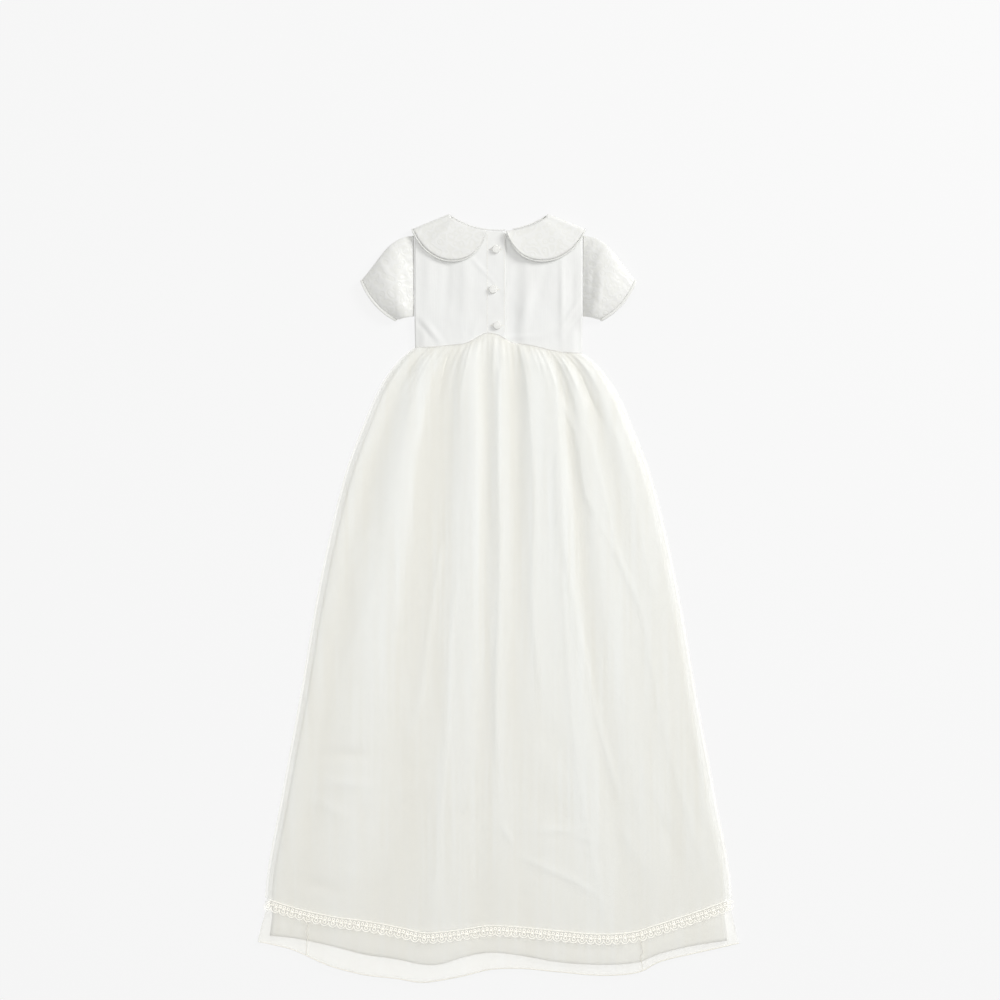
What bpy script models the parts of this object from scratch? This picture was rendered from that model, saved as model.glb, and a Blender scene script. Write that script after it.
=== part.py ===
"""Christening gown lying flat on its front, with its buttoned back upwards.

Lengths are in millimetres until a mesh is made. +X runs to the viewer's right,
+Y from the hem to the neck, and +Z up from the surface that the gown lies on.

The stack, from the surface up: overskirt, long organza and satin of the front,
then satin, long organza and overskirt of the back. Neighbouring walls keep SEAM
between them, and every back layer is made from the points of one folded surface.
"""

import math
from collections import namedtuple

import bmesh
import bpy
from mathutils import Vector

MM = 0.001

# Walls and the gap that seams keep
SEAM = 0.3
SKIRT_WALL = 1.0
BODICE_WALL = 1.6
SLEEVE_WALL = 1.2
COLLAR_WALL = 1.2
STEP_UP = SKIRT_WALL + SEAM

# Overall places
WAIST_HALF = 100.0
SHOULDER_TIP_Y = 436.0
NECK_TOP_Y = 455.0
NECK_HALF = 56.5
NECK_POWER = 2.2
BACK_NECK_DEPTH = 16.5
FRONT_NECK_DEPTH = 30.5
LACE_DEPTH = 13.0

# Bodice
BODICE_HALF = 100.5
FRONT_AT_WAIST = 1.3
FRONT_OVER_COLLAR = 2.4
UNDER_FROM_Y, UNDER_TO_Y = 315.0, 384.0
LEFT_LAP_X = 9.0
LAP_LOWERED_TO_X, LAP_LEVEL_FROM_X = 17.0, 34.0
BACK_ABOVE_FRONT = 3.5
SIDE_SEAM_TOP_Y = 336.0
SIDE_SEAM_ROLL = 12.0

# Sleeves and cuffs
RING_POINTS = 16
CUFF_WIDTH = 3.0
CUFF_WALL = 1.7
CUFF_SPARE = (CUFF_WALL - SLEEVE_WALL) / 2.0
CUFF_BULGE = 6.0

# Collar
COLLAR_LEVEL = 9.8
COLLAR_FLOOR = 1.0
COLLAR_LIFT = 2.4
COLLAR_EASE = 0.6
COLLAR_END_LIFT = {"left": 0.5, "right": 3.0}
COLLAR_START = {"left": -12.6, "right": 6.6}
COLLAR_REACH = {"left": -88.0, "right": 94.5}
PIPING_RADIUS = 0.9
BINDING_RADIUS = 0.7
BINDING_GAP = 1.0

# Buttons
BUTTON_RADIUS = 5.0
BUTTON_HEIGHT = 3.2
BUTTON_SIDES = 14
BUTTON_PLACES = ((-3.0, 417.0), (-6.6, 369.0), (-1.8, 326.0))

Row = namedtuple("Row", "name down half_width organza_in satin_in sink")
SKIRT_ROWS = (
    Row("waist", 0.000, 100.0, 2.0, 4.5, 0.0),
    Row("gathers", 0.012, 111.0, 2.0, 5.0, 0.0),
    Row("hip", 0.035, 126.0, 2.5, 6.0, 0.0),
    Row("", 0.080, 145.0, 3.0, 7.0, 0.0),
    Row("", 0.140, 162.0, 3.0, 8.0, 0.0),
    Row("", 0.220, 182.0, 3.0, 8.0, 0.0),
    Row("", 0.330, 201.0, 3.0, 8.0, 0.0),
    Row("", 0.470, 220.0, 3.0, 8.0, 0.0),
    Row("", 0.640, 239.0, 3.0, 8.0, 0.0),
    Row("", 0.820, 261.0, 3.0, 8.0, 0.0),
    Row("lace line", 1.000, 280.0, 3.0, 8.0, 0.0),
    Row("lace tips", 1.000, 281.5, 2.5, 10.5, 0.0),
    Row("satin hem", 1.000, 290.0, 3.0, 16.0, 0.0),
    Row("sheer hem", 1.000, 291.6, 3.0, 17.0, 2.6),
)

Hem = namedtuple("Hem", "across lace_line satin_hem sheer_hem")
HEMS = (
    Hem(-1.00, -360.0, -404.0, -412.0),
    Hem(-0.85, -373.0, -408.0, -422.0),
    Hem(-0.70, -382.0, -417.0, -441.0),
    Hem(-0.55, -388.0, -428.0, -452.5),
    Hem(-0.42, -395.0, -433.5, -457.0),
    Hem(-0.32, -401.0, -439.5, -461.5),
    Hem(-0.24, -400.0, -439.5, -459.0),
    Hem(-0.14, -396.5, -430.5, -453.5),
    Hem(-0.03, -392.5, -425.5, -446.0),
    Hem(0.10, -394.5, -429.5, -445.0),
    Hem(0.25, -398.5, -437.0, -449.0),
    Hem(0.43, -402.5, -440.0, -453.0),
    Hem(0.58, -400.0, -437.0, -449.0),
    Hem(0.66, -393.0, -427.5, -437.0),
    Hem(0.80, -380.5, -417.5, -427.0),
    Hem(1.00, -360.5, -409.0, -414.0),
)

# One line for each crest and trough that runs down the back of the skirt. It crosses the
# gathers, a fifth of the way down, the middle and the lace line at a share of the half
# width, and stands up by a height there. seam_y is where the waist seam passes its top.
Fold = namedtuple("Fold", "name seam_y crosses heights")
FOLDS = (
    Fold("left roll", 300.5, (-0.93, -0.93, -0.93, -0.93), (2.0, 3.0, 1.5, 1.0)),
    Fold("left trough", 300.5, (-0.83, -0.84, -0.86, -0.85), (0.8, 0.0, 0.4, 0.5)),
    Fold("left ridge", 301.5, (-0.70, -0.66, -0.70, -0.70), (6.0, 7.5, 4.0, 1.5)),
    Fold("left ridge edge", 302.5, (-0.62, -0.59, -0.57, -0.57), (5.0, 6.5, 3.5, 1.0)),
    Fold("deep gap", 303.0, (-0.56, -0.53, -0.51, -0.49), (0.0, 0.0, 0.4, 0.4)),
    Fold("gap far side", 304.5, (-0.42, -0.36, -0.36, -0.38), (1.5, 0.4, 0.8, 0.8)),
    Fold("inner ridge", 308.0, (-0.33, -0.24, -0.24, -0.28), (6.0, 6.0, 3.5, 2.0)),
    Fold("inner ridge edge", 314.0, (-0.22, -0.15, -0.14, -0.16), (6.5, 7.5, 4.5, 2.0)),
    Fold("left centre trough", 317.5, (-0.14, -0.09, -0.08, -0.08), (0.4, 0.4, 0.8, 0.8)),
    Fold("centre crease", 315.0, (0.00, 0.00, 0.00, 0.02), (4.0, 5.0, 3.5, 1.5)),
    Fold("right centre trough", 305.5, (0.17, 0.12, 0.09, 0.10), (0.0, 0.0, 0.8, 0.8)),
    Fold("right centre edge", 304.5, (0.27, 0.21, 0.19, 0.20), (6.0, 5.5, 3.5, 2.0)),
    Fold("right ridge", 302.5, (0.40, 0.33, 0.30, 0.34), (7.5, 7.0, 4.5, 2.0)),
    Fold("right ridge edge", 300.0, (0.50, 0.43, 0.41, 0.50), (6.0, 7.5, 5.0, 2.5)),
    Fold("wedge trough", 298.5, (0.56, 0.50, 0.48, 0.58), (0.0, 0.0, 1.0, 1.0)),
    Fold("outer ridge", 296.0, (0.67, 0.60, 0.60, 0.70), (6.0, 5.0, 4.0, 2.0)),
    Fold("short trough", 294.5, (0.76, 0.74, 0.72, 0.80), (0.4, 2.0, 2.8, 1.0)),
    Fold("right roll", 294.0, (0.86, 0.84, 0.83, 0.88), (4.0, 4.5, 3.0, 1.5)),
    Fold("right edge", 293.5, (0.93, 0.93, 0.93, 0.94), (2.0, 2.5, 1.5, 1.0)),
)
CROSSED_AT = (0.035, 0.20, 0.50, 1.00)
SEAM_SHARE_OF_FOLD = 0.12

Layer = namedtuple("Layer", "level fold_share last_row")
SATIN = Layer(0, 0.38, "satin hem")
LONG_ORGANZA = Layer(1, 0.70, "sheer hem")
OVERSKIRT = Layer(2, 1.00, "lace line")

Swell = namedtuple("Swell", "x y across along height")
BODICE_SWELLS = (
    Swell(-85.0, 388.0, 14.0, 40.0, 0.5),
    Swell(-38.0, 372.0, 14.0, 60.0, 0.6),
    Swell(-62.0, 380.0, 10.0, 45.0, -0.3),
    Swell(-78.0, 322.0, 24.0, 14.0, 0.5),
    Swell(28.0, 372.0, 14.0, 34.0, 0.6),
    Swell(76.0, 360.0, 9.0, 44.0, 0.6),
    Swell(50.0, 332.0, 30.0, 16.0, 0.5),
)

# The sleeve's fold line and underarm seam, on the wearer's right and mirrored on the left
Station = namedtuple("Station", "fold_x fold_y under_x under_y height")
SLEEVE_STATIONS = (
    Station(101.2, 434.0, 101.2, 337.0, 5.8),
    Station(117.0, 430.5, 106.0, 336.5, 11.0),
    Station(131.0, 421.0, 110.5, 335.5, 15.0),
    Station(143.5, 406.5, 114.5, 334.5, 15.5),
    Station(154.5, 392.0, 118.0, 333.5, 13.0),
    Station(163.2, 381.4, 121.2, 333.2, 9.5),
)

# Half a collar, from the shoulder to the centre: how far along the half neckline its neck
# edge is, how far along its own reach the outer edge is, and how high that edge lies
CollarRow = namedtuple("CollarRow", "neck_along outer_along outer_y")
COLLAR_ROWS = (
    CollarRow(1.00, 1.00, 437.0),
    CollarRow(0.94, 0.93, 426.5),
    CollarRow(0.86, 0.82, 415.5),
    CollarRow(0.74, 0.65, 406.5),
    CollarRow(0.57, 0.45, 404.0),
    CollarRow(0.39, 0.27, 408.5),
    CollarRow(0.21, 0.15, 418.0),
    CollarRow(0.05, 0.06, 431.0),
)
COLLAR_ACROSS = (0.0, 0.35, 0.7, 1.0)
WRAP_ANGLES = (45.0, 90.0, 135.0)

Finish = namedtuple("Finish", "colour roughness alpha")
FINISHES = {
    "ivory satin": Finish((0.83, 0.81, 0.76), 0.38, 1.0),
    "ivory organza": Finish((0.87, 0.86, 0.82), 0.45, 0.45),
    "ivory jacquard": Finish((0.85, 0.83, 0.79), 0.42, 1.0),
    "ivory lace": Finish((0.80, 0.79, 0.74), 0.80, 1.0),
    "pearl button": Finish((0.86, 0.84, 0.80), 0.20, 1.0),
}


# Small helpers ------------------------------------------------------------------------


def mix(low, high, share):
    return low + (high - low) * share


def ease(value, start, end):
    """0 before start and 1 after end, with a soft change between."""
    share = min(max((value - start) / (end - start), 0.0), 1.0)
    return share * share * (3.0 - 2.0 * share)


def smooth(places, values, where):
    """A smooth curve through the values at these places, read at where."""
    last = len(places) - 1
    where = min(max(where, places[0]), places[last])
    at = max(i for i in range(last) if places[i] <= where)

    def slope(i):
        before, after = max(i - 1, 0), min(i + 1, last)
        return (values[after] - values[before]) / (places[after] - places[before])

    span = places[at + 1] - places[at]
    t = (where - places[at]) / span
    start = values[at] * (1.0 + 2.0 * t) * (1.0 - t) ** 2 + slope(at) * span * t * (1.0 - t) ** 2
    end = values[at + 1] * (3.0 - 2.0 * t) * t * t - slope(at + 1) * span * (1.0 - t) * t * t
    return start + end


def straight(places, values, where):
    """The same with straight runs, so that two pieces with one seam keep one edge."""
    where = min(max(where, places[0]), places[-1])
    at = max(i for i in range(len(places) - 1) if places[i] <= where)
    return mix(values[at], values[at + 1], (where - places[at]) / (places[at + 1] - places[at]))


def material(name):
    """The named cloth's Principled material, made once."""
    made = bpy.data.materials.get(name)
    if made:
        return made
    made = bpy.data.materials.new(name)
    made.use_nodes = True
    shader = made.node_tree.nodes["Principled BSDF"]
    shader.inputs["Base Color"].default_value = (*FINISHES[name].colour, 1.0)
    shader.inputs["Roughness"].default_value = FINISHES[name].roughness
    shader.inputs["Alpha"].default_value = FINISHES[name].alpha
    return made


def object_of(name, mesh, cloth):
    made = bpy.data.objects.new(name, mesh)
    made.data.materials.append(material(cloth))
    bpy.context.scene.collection.objects.link(made)
    return made


def mesh_object(name, points, faces, cloth):
    """A mesh object from points in millimetres, with its faces turned outwards."""
    mesh = bpy.data.meshes.new(name)
    mesh.from_pydata([Vector(point) * MM for point in points], [], faces)
    shape = bmesh.new()
    shape.from_mesh(mesh)
    bmesh.ops.recalc_face_normals(shape, faces=shape.faces)
    shape.to_mesh(mesh)
    shape.free()
    return object_of(name, mesh, cloth)


def grid_faces(rows, columns, first=0, closed=False):
    """The triangles of a grid of points, all cut the same way, so that stacked walls match.

    A closed grid joins its last column to its first.
    """
    faces = []
    for r in range(rows - 1):
        for c in range(columns if closed else columns - 1):
            across = (c + 1) % columns
            here, below = first + r * columns, first + (r + 1) * columns
            faces.append((here + c, here + across, below + across))
            faces.append((here + c, below + across, below + c))
    return faces


def border(rows, columns):
    """The indices round the edge of a grid, in order."""
    top = list(range(columns))
    right = [r * columns + columns - 1 for r in range(1, rows)]
    bottom = [(rows - 1) * columns + c for c in range(columns - 2, -1, -1)]
    left = [r * columns for r in range(rows - 2, 0, -1)]
    return top + right + bottom + left


def rim_faces(edge, offset):
    """The wall between an edge loop and its copy, which is offset places further on."""
    pairs = zip(edge, edge[1:] + edge[:1])
    return [(a, b, b + offset, a + offset) for a, b in pairs]


def slab(name, grid, wall, cloth):
    """A cloth wall of even height over a grid of points on its underside."""
    rows, columns = len(grid), len(grid[0])
    under = [point for row in grid for point in row]
    over = [(x, y, z + wall) for x, y, z in under]
    faces = grid_faces(rows, columns) + grid_faces(rows, columns, first=len(under))
    faces += rim_faces(border(rows, columns), len(under))
    return mesh_object(name, under + over, faces, cloth)


def flat_panel(name, grid, level, wall, cloth):
    """A level panel with the same outline as a grid of points."""
    rows, columns = len(grid), len(grid[0])
    points = [point for row in grid for point in row]
    outline = [points[i] for i in border(rows, columns)]
    under = [(x, y, level) for x, y, _ in outline]
    over = [(x, y, level + wall) for x, y, _ in outline]
    edge = list(range(len(outline)))
    faces = [edge, [i + len(edge) for i in edge]] + rim_faces(edge, len(edge))
    return mesh_object(name, under + over, faces, cloth)


def cord(name, points, radius, cloth):
    """A round cord through points in millimetres, with closed ends."""
    curve = bpy.data.curves.new(name, "CURVE")
    curve.dimensions = "3D"
    curve.bevel_depth = radius * MM
    curve.bevel_resolution = 1
    curve.use_fill_caps = True
    spline = curve.splines.new("POLY")
    spline.points.add(len(points) - 1)
    for place, point in zip(spline.points, points):
        place.co = (*(Vector(point) * MM), 1.0)
    return object_of(name, curve, cloth)


# Skirt --------------------------------------------------------------------------------


def fold_value(fold, column, down):
    return smooth(CROSSED_AT, getattr(fold, column), max(down, CROSSED_AT[0]))


def skirt_y(row, across, seam_y):
    """How far up a skirt row lies at a share of the half width."""
    shares = [hem.across for hem in HEMS]
    lace_line = smooth(shares, [hem.lace_line for hem in HEMS], across)
    if row.name == "lace tips":
        return lace_line - LACE_DEPTH
    if row.name == "satin hem":
        return smooth(shares, [hem.satin_hem for hem in HEMS], across)
    if row.name == "sheer hem":
        return smooth(shares, [hem.sheer_hem for hem in HEMS], across)
    return mix(seam_y, lace_line, row.down)


def skirt_line(row, layer, column):
    """One point on the underside of a back layer of the skirt.

    Columns 0, 1 and 2 are the edges of the overskirt, of the long organza and of the
    satin, then comes one for each fold, and the same three edges on the right.
    """
    edges = (0.0, row.organza_in, row.satin_in)
    levels = (-4.0, -2.0, 0.0)
    last = len(FOLDS) + 2 * len(edges) - 1
    from_side = min(column, last - column)
    if from_side < len(edges):
        side = -1.0 if column < len(edges) else 1.0
        x = side * (row.half_width - edges[from_side])
        seam_y = FOLDS[0 if side < 0 else -1].seam_y
        rise = levels[from_side] * STEP_UP
        height = 0.0
    else:
        fold = FOLDS[column - len(edges)]
        x = fold_value(fold, "crosses", row.down) * row.half_width
        seam_y = fold.seam_y
        rise = 0.0
        swelling = mix(SEAM_SHARE_OF_FOLD, 1.0, ease(row.down, 0.0, CROSSED_AT[0]))
        height = fold_value(fold, "heights", row.down) * swelling
    y = skirt_y(row, x / row.half_width, seam_y)
    lowest = (3 - layer.level) * STEP_UP
    base = max((3 + layer.level) * STEP_UP + rise - row.sink, lowest)
    return (x, y, base + height * layer.fold_share)


def skirt_grid(layer):
    """The layer's underside, from the waist to its own hem and between its own edges."""
    names = [row.name for row in SKIRT_ROWS]
    rows = SKIRT_ROWS[: names.index(layer.last_row) + 1]
    inset = 2 - layer.level
    columns = range(inset, len(FOLDS) + 6 - inset)
    return [[skirt_line(row, layer, column) for column in columns] for row in rows]


def front_seam(share):
    """The front's waist seam: straight between the side seams."""
    return mix(FOLDS[0].seam_y, FOLDS[-1].seam_y, (share + 1.0) / 2.0)


def straightened(grid):
    """A grid for a front layer: the same outline with a straight waist seam."""
    top = [(x, front_seam(x / WAIST_HALF), z) for x, _, z in grid[0]]
    return [top] + grid[1:]


def lace_grid():
    names = [row.name for row in SKIRT_ROWS]
    line = SKIRT_ROWS[names.index("lace line")]
    tips = SKIRT_ROWS[names.index("lace tips")]
    columns = range(len(FOLDS) + 6)
    top = [skirt_line(line, OVERSKIRT, column) for column in columns]
    top = [(x, y - SEAM, z) for x, y, z in top]
    return [top, [skirt_line(tips, OVERSKIRT, column) for column in columns]]


def make_skirt():
    layers = (
        ("satin_skirt", SATIN, "ivory satin"),
        ("organza_underlayer", LONG_ORGANZA, "ivory organza"),
        ("overskirt", OVERSKIRT, "ivory organza"),
    )
    for name, layer, cloth in layers:
        grid = skirt_grid(layer)
        slab(f"{name}_back", grid, SKIRT_WALL, cloth)
        level = (2 - layer.level) * STEP_UP
        flat_panel(f"{name}_front", straightened(grid), level, SKIRT_WALL, cloth)
    slab("lace_back", lace_grid(), SKIRT_WALL, "ivory lace")
    flat_panel("lace_front", lace_grid(), 0.0, SKIRT_WALL, "ivory lace")


# Bodice -------------------------------------------------------------------------------


def neck_y(x, depth):
    """The neckline: deepest at the centre, level with the shoulder's inner end outside."""
    share = min(abs(x) / NECK_HALF, 1.0)
    return NECK_TOP_Y - depth * (1.0 - share**NECK_POWER)


def bodice_top(x, depth):
    if abs(x) <= NECK_HALF:
        return neck_y(x, depth)
    share = (abs(x) - NECK_HALF) / (BODICE_HALF - NECK_HALF)
    return mix(NECK_TOP_Y, SHOULDER_TIP_Y, share)


def front_level(y):
    """The front panel's underside: it rises over the front leaves of the collar."""
    return mix(FRONT_AT_WAIST, FRONT_OVER_COLLAR, ease(y, UNDER_FROM_Y, UNDER_TO_Y))


def back_level(x, y):
    """The left back panel's underside."""
    swell = sum(
        bump.height
        * math.exp(-(((x - bump.x) / bump.across) ** 2) - ((y - bump.y) / bump.along) ** 2)
        for bump in BODICE_SWELLS
    )
    fall = (BACK_ABOVE_FRONT - STEP_UP) * (1.0 - ease(y, SIDE_SEAM_TOP_Y - 20.0, SIDE_SEAM_TOP_Y))
    roll = fall * ease(abs(x), WAIST_HALF - SIDE_SEAM_ROLL, WAIST_HALF)
    return front_level(y) + BACK_ABOVE_FRONT + max(swell, -0.2) - roll


def lapped_level(x, y):
    """The right back panel's underside, which passes under the left one at the placket."""
    lowered = (BODICE_WALL + SEAM) * (1.0 - ease(x, LAP_LOWERED_TO_X, LAP_LEVEL_FROM_X))
    return back_level(x, y) - lowered


BODICE_DOWN = (0.0, 0.12, 0.25, 0.42, 0.58, 0.72, 0.84, 0.93, 1.0)


def bodice_grid(shares, neck_depth, level, seam_of):
    """A bodice panel's underside between the waist seam and the shoulders."""
    grid = []
    for up in BODICE_DOWN:
        row = []
        for share in shares:
            x = share * mix(WAIST_HALF, BODICE_HALF, ease(up, 0.0, 0.25))
            y = mix(seam_of(share) + SEAM, bodice_top(share * BODICE_HALF, neck_depth), up)
            row.append((x, y, level(x, y)))
        grid.append(row)
    return grid


def make_bodice():
    seam_shares = [-1.0] + [fold.crosses[0] for fold in FOLDS] + [1.0]
    seam_heights = [fold.seam_y for fold in FOLDS]
    seam_heights = seam_heights[:1] + seam_heights + seam_heights[-1:]

    def back_seam(share):
        return straight(seam_shares, seam_heights, share)

    lap = LEFT_LAP_X / WAIST_HALF
    left = [share for share in seam_shares if share < lap] + [lap]
    right = [share for share in seam_shares if share >= FOLDS[8].crosses[0]]
    slab(
        "bodice_back_left",
        bodice_grid(left, BACK_NECK_DEPTH, back_level, back_seam),
        BODICE_WALL,
        "ivory satin",
    )
    slab(
        "bodice_back_right",
        bodice_grid(right, BACK_NECK_DEPTH, lapped_level, back_seam),
        BODICE_WALL,
        "ivory satin",
    )
    slab(
        "bodice_front",
        bodice_grid(seam_shares, FRONT_NECK_DEPTH, lambda x, y: front_level(y), front_seam),
        SKIRT_WALL,
        "ivory satin",
    )


# Sleeves ------------------------------------------------------------------------------


def ring(station, side, outward, grow, bulge):
    """Points round a flattened sleeve: from the fold line over the top to the underarm."""
    fold = Vector((side * station.fold_x, station.fold_y, 0.0))
    under = Vector((side * station.under_x, station.under_y, 0.0))
    middle = (fold + under) / 2.0
    half = (fold - under) / 2.0
    half *= (half.length + grow) / half.length
    rise = station.height / 2.0 + grow
    points = []
    for i in range(RING_POINTS):
        angle = 2.0 * math.pi * i / RING_POINTS
        along, up = math.cos(angle), math.sin(angle)
        plan = middle + half * along + outward * bulge * (1.0 - along * along)
        points.append((plan.x, plan.y, CUFF_SPARE + station.height / 2.0 + rise * up))
    return points


def tube(name, outer, inner, cloth):
    """A tube wall between two lists of rings, open at both ends."""
    count = len(outer)
    points = [point for one in outer + inner for point in one]
    inside = count * RING_POINTS
    faces = grid_faces(count, RING_POINTS, closed=True)
    faces += grid_faces(count, RING_POINTS, first=inside, closed=True)
    for end in (0, (count - 1) * RING_POINTS):
        faces += rim_faces([end + i for i in range(RING_POINTS)], inside)
    return mesh_object(name, points, faces, cloth)


def make_sleeve(word, side):
    last = SLEEVE_STATIONS[-1]
    cuff = Vector((side * (last.fold_x - last.under_x), last.fold_y - last.under_y, 0.0))
    outward = Vector((cuff.y * side, -cuff.x * side, 0.0)).normalized()
    bulges = [CUFF_BULGE * (i / (len(SLEEVE_STATIONS) - 1)) ** 2 for i in range(len(SLEEVE_STATIONS))]
    outer = [ring(s, side, outward, 0.0, b) for s, b in zip(SLEEVE_STATIONS, bulges)]
    inner = [ring(s, side, outward, -SLEEVE_WALL, b) for s, b in zip(SLEEVE_STATIONS, bulges)]
    tube(f"sleeve_{word}", outer, inner, "ivory jacquard")

    def band(grow):
        edge = ring(last, side, outward, grow, CUFF_BULGE)
        return [
            [(Vector(point) + outward * reach)[:] for point in edge]
            for reach in (SEAM, SEAM + CUFF_WIDTH)
        ]

    tube(f"cuff_binding_{word}", band(CUFF_SPARE), band(CUFF_SPARE - CUFF_WALL), "ivory satin")


# Collar and neck ----------------------------------------------------------------------


def collar_plan(row, word, across, drop):
    """Where a collar half lies in plan; drop lowers the front leaf towards the centre."""
    shoulder_x = math.copysign(NECK_HALF, COLLAR_REACH[word])
    neck_x = mix(COLLAR_START[word], shoulder_x, row.neck_along)
    outer_x = COLLAR_START[word] + COLLAR_REACH[word] * row.outer_along
    neck = Vector((neck_x, neck_y(neck_x, BACK_NECK_DEPTH + drop), 0.0))
    outer = Vector((outer_x, row.outer_y - drop, 0.0))
    return neck.lerp(outer, across)


def collar_stations(word):
    """Each station's points across the half: back leaf, shoulder wrap, front leaf."""
    last = len(COLLAR_ROWS) - 1
    stations = []
    for i, row in reversed(list(enumerate(COLLAR_ROWS))):
        station = []
        for across in COLLAR_ACROSS:
            arch = math.sin(math.pi * (0.15 + 0.7 * across)) * ease(i, 0.0, 2.0)
            end = COLLAR_END_LIFT[word] * ease(i, last - 4.0, last) * across
            plan = collar_plan(row, word, across, 0.0)
            station.append((plan.x, plan.y, COLLAR_LEVEL + COLLAR_LIFT * arch + end))
        stations.append(station)
    shoulder = [collar_plan(COLLAR_ROWS[0], word, across, 0.0) for across in COLLAR_ACROSS]
    along = (shoulder[-1] - shoulder[0]).normalized()
    outward = Vector((-along.y, along.x, 0.0))
    outward *= math.copysign(1.0, outward.y)
    radius = (COLLAR_LEVEL - COLLAR_FLOOR) / 2.0
    for angle in map(math.radians, WRAP_ANGLES):
        station = []
        for plan in shoulder:
            place = plan + outward * (COLLAR_EASE + radius * math.sin(angle))
            station.append((place.x, place.y, COLLAR_FLOOR + radius * (1.0 + math.cos(angle))))
        stations.append(station)
    for i, row in enumerate(COLLAR_ROWS):
        drop = (FRONT_NECK_DEPTH - BACK_NECK_DEPTH) * i / last
        plans = [collar_plan(row, word, across, drop) for across in COLLAR_ACROSS]
        stations.append([(plan.x, plan.y, COLLAR_FLOOR) for plan in plans])
    return stations


def make_collar(word):
    stations = collar_stations(word)
    rows, columns = len(stations), len(COLLAR_ACROSS)
    points = [point for station in stations for point in station]
    leaf = mesh_object(f"collar_{word}", points, grid_faces(rows, columns), "ivory jacquard")
    thickness = leaf.modifiers.new("Cloth wall", "SOLIDIFY")
    thickness.thickness = COLLAR_WALL * MM
    thickness.offset = 0.0
    thickness.use_even_offset = True
    clear = COLLAR_WALL / 2.0 + SEAM + PIPING_RADIUS
    edge = [Vector(station[-1]) for station in stations]
    route = []
    for i, station in enumerate(stations):
        tangent = (edge[min(i + 1, rows - 1)] - edge[max(i - 1, 0)]).normalized()
        across = edge[i] - Vector(station[-2])
        across -= tangent * across.dot(tangent)
        route.append(edge[i] + across.normalized() * clear)
    cord(f"collar_piping_{word}", route, PIPING_RADIUS, "ivory satin")


def make_neck_binding():
    """One binding from the left back edge, round the front, to the right back edge."""
    steps = 7
    clear = BINDING_RADIUS + BINDING_GAP
    right_lap_x = FOLDS[8].crosses[0] * WAIST_HALF

    def back_run(start_x, side, level):
        run = []
        for i in range(steps + 1):
            x = mix(start_x, side * (NECK_HALF - 2.0), i / steps)
            y = neck_y(x, BACK_NECK_DEPTH) + clear
            run.append((x, y, level(x, y - clear) + BODICE_WALL / 2.0))
        return run

    left = back_run(LEFT_LAP_X, -1.0, back_level)
    right = back_run(right_lap_x, 1.0, lapped_level)
    front = []
    for i in range(2 * steps + 1):
        x = mix(-(NECK_HALF - 3.0), NECK_HALF - 3.0, i / (2 * steps))
        y = neck_y(x, FRONT_NECK_DEPTH) + clear
        front.append((x, y, front_level(y) + SKIRT_WALL / 2.0))
    cord("neck_binding", left + front + right[::-1], BINDING_RADIUS, "ivory satin")


# Buttons ------------------------------------------------------------------------------


def make_button(number, x, y):
    """A small domed button with a rounded edge."""
    profile = ((0.86, 0.0), (1.0, 0.22), (0.96, 0.5), (0.72, 0.83), (0.36, 0.97))
    base = back_level(x, y) + BODICE_WALL + 2.0 * SEAM
    points = []
    for radius_share, height_share in profile:
        for i in range(BUTTON_SIDES):
            angle = 2.0 * math.pi * i / BUTTON_SIDES
            reach = BUTTON_RADIUS * radius_share
            place = (x + reach * math.cos(angle), y + reach * math.sin(angle))
            points.append((*place, base + BUTTON_HEIGHT * height_share))
    faces = grid_faces(len(profile), BUTTON_SIDES, closed=True)
    top = (len(profile) - 1) * BUTTON_SIDES
    faces.append(list(range(BUTTON_SIDES)))
    faces.append([top + i for i in range(BUTTON_SIDES)])
    mesh_object(f"button_{number}", points, faces, "pearl button")


def set_on_origin():
    """Hangs every piece on an empty that puts the gown's middle over the origin."""
    pieces = [piece for piece in bpy.data.objects if piece.type in ("MESH", "CURVE")]
    holder = bpy.data.objects.new("gown", None)
    bpy.context.scene.collection.objects.link(holder)
    bpy.context.view_layer.update()
    corners = [Vector(corner) for piece in pieces for corner in piece.bound_box]
    low = Vector([min(corner[i] for corner in corners) for i in range(3)])
    high = Vector([max(corner[i] for corner in corners) for i in range(3)])
    holder.location = (-(low.x + high.x) / 2.0, -(low.y + high.y) / 2.0, -low.z)
    for piece in pieces:
        piece.parent = holder


def main():
    for old in list(bpy.data.objects):
        bpy.data.objects.remove(old, do_unlink=True)
    make_skirt()
    make_bodice()
    for word, side in (("left", -1.0), ("right", 1.0)):
        make_sleeve(word, side)
        make_collar(word)
    make_neck_binding()
    for number, (x, y) in enumerate(BUTTON_PLACES, start=1):
        make_button(number, x, y)
    set_on_origin()


if __name__ == "__main__":
    main()
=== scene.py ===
"""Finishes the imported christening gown: cloth, lace, stitches, buttons, light and camera.

Sizes are in millimetres of the laid-out gown: +X to the viewer's right, +Y from the
hem to the neck, +Z up from the surface. place() turns them into the frame's metres.
"""

import math
from collections import namedtuple

import bpy
import numpy as np
from mathutils import Matrix, Vector


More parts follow.
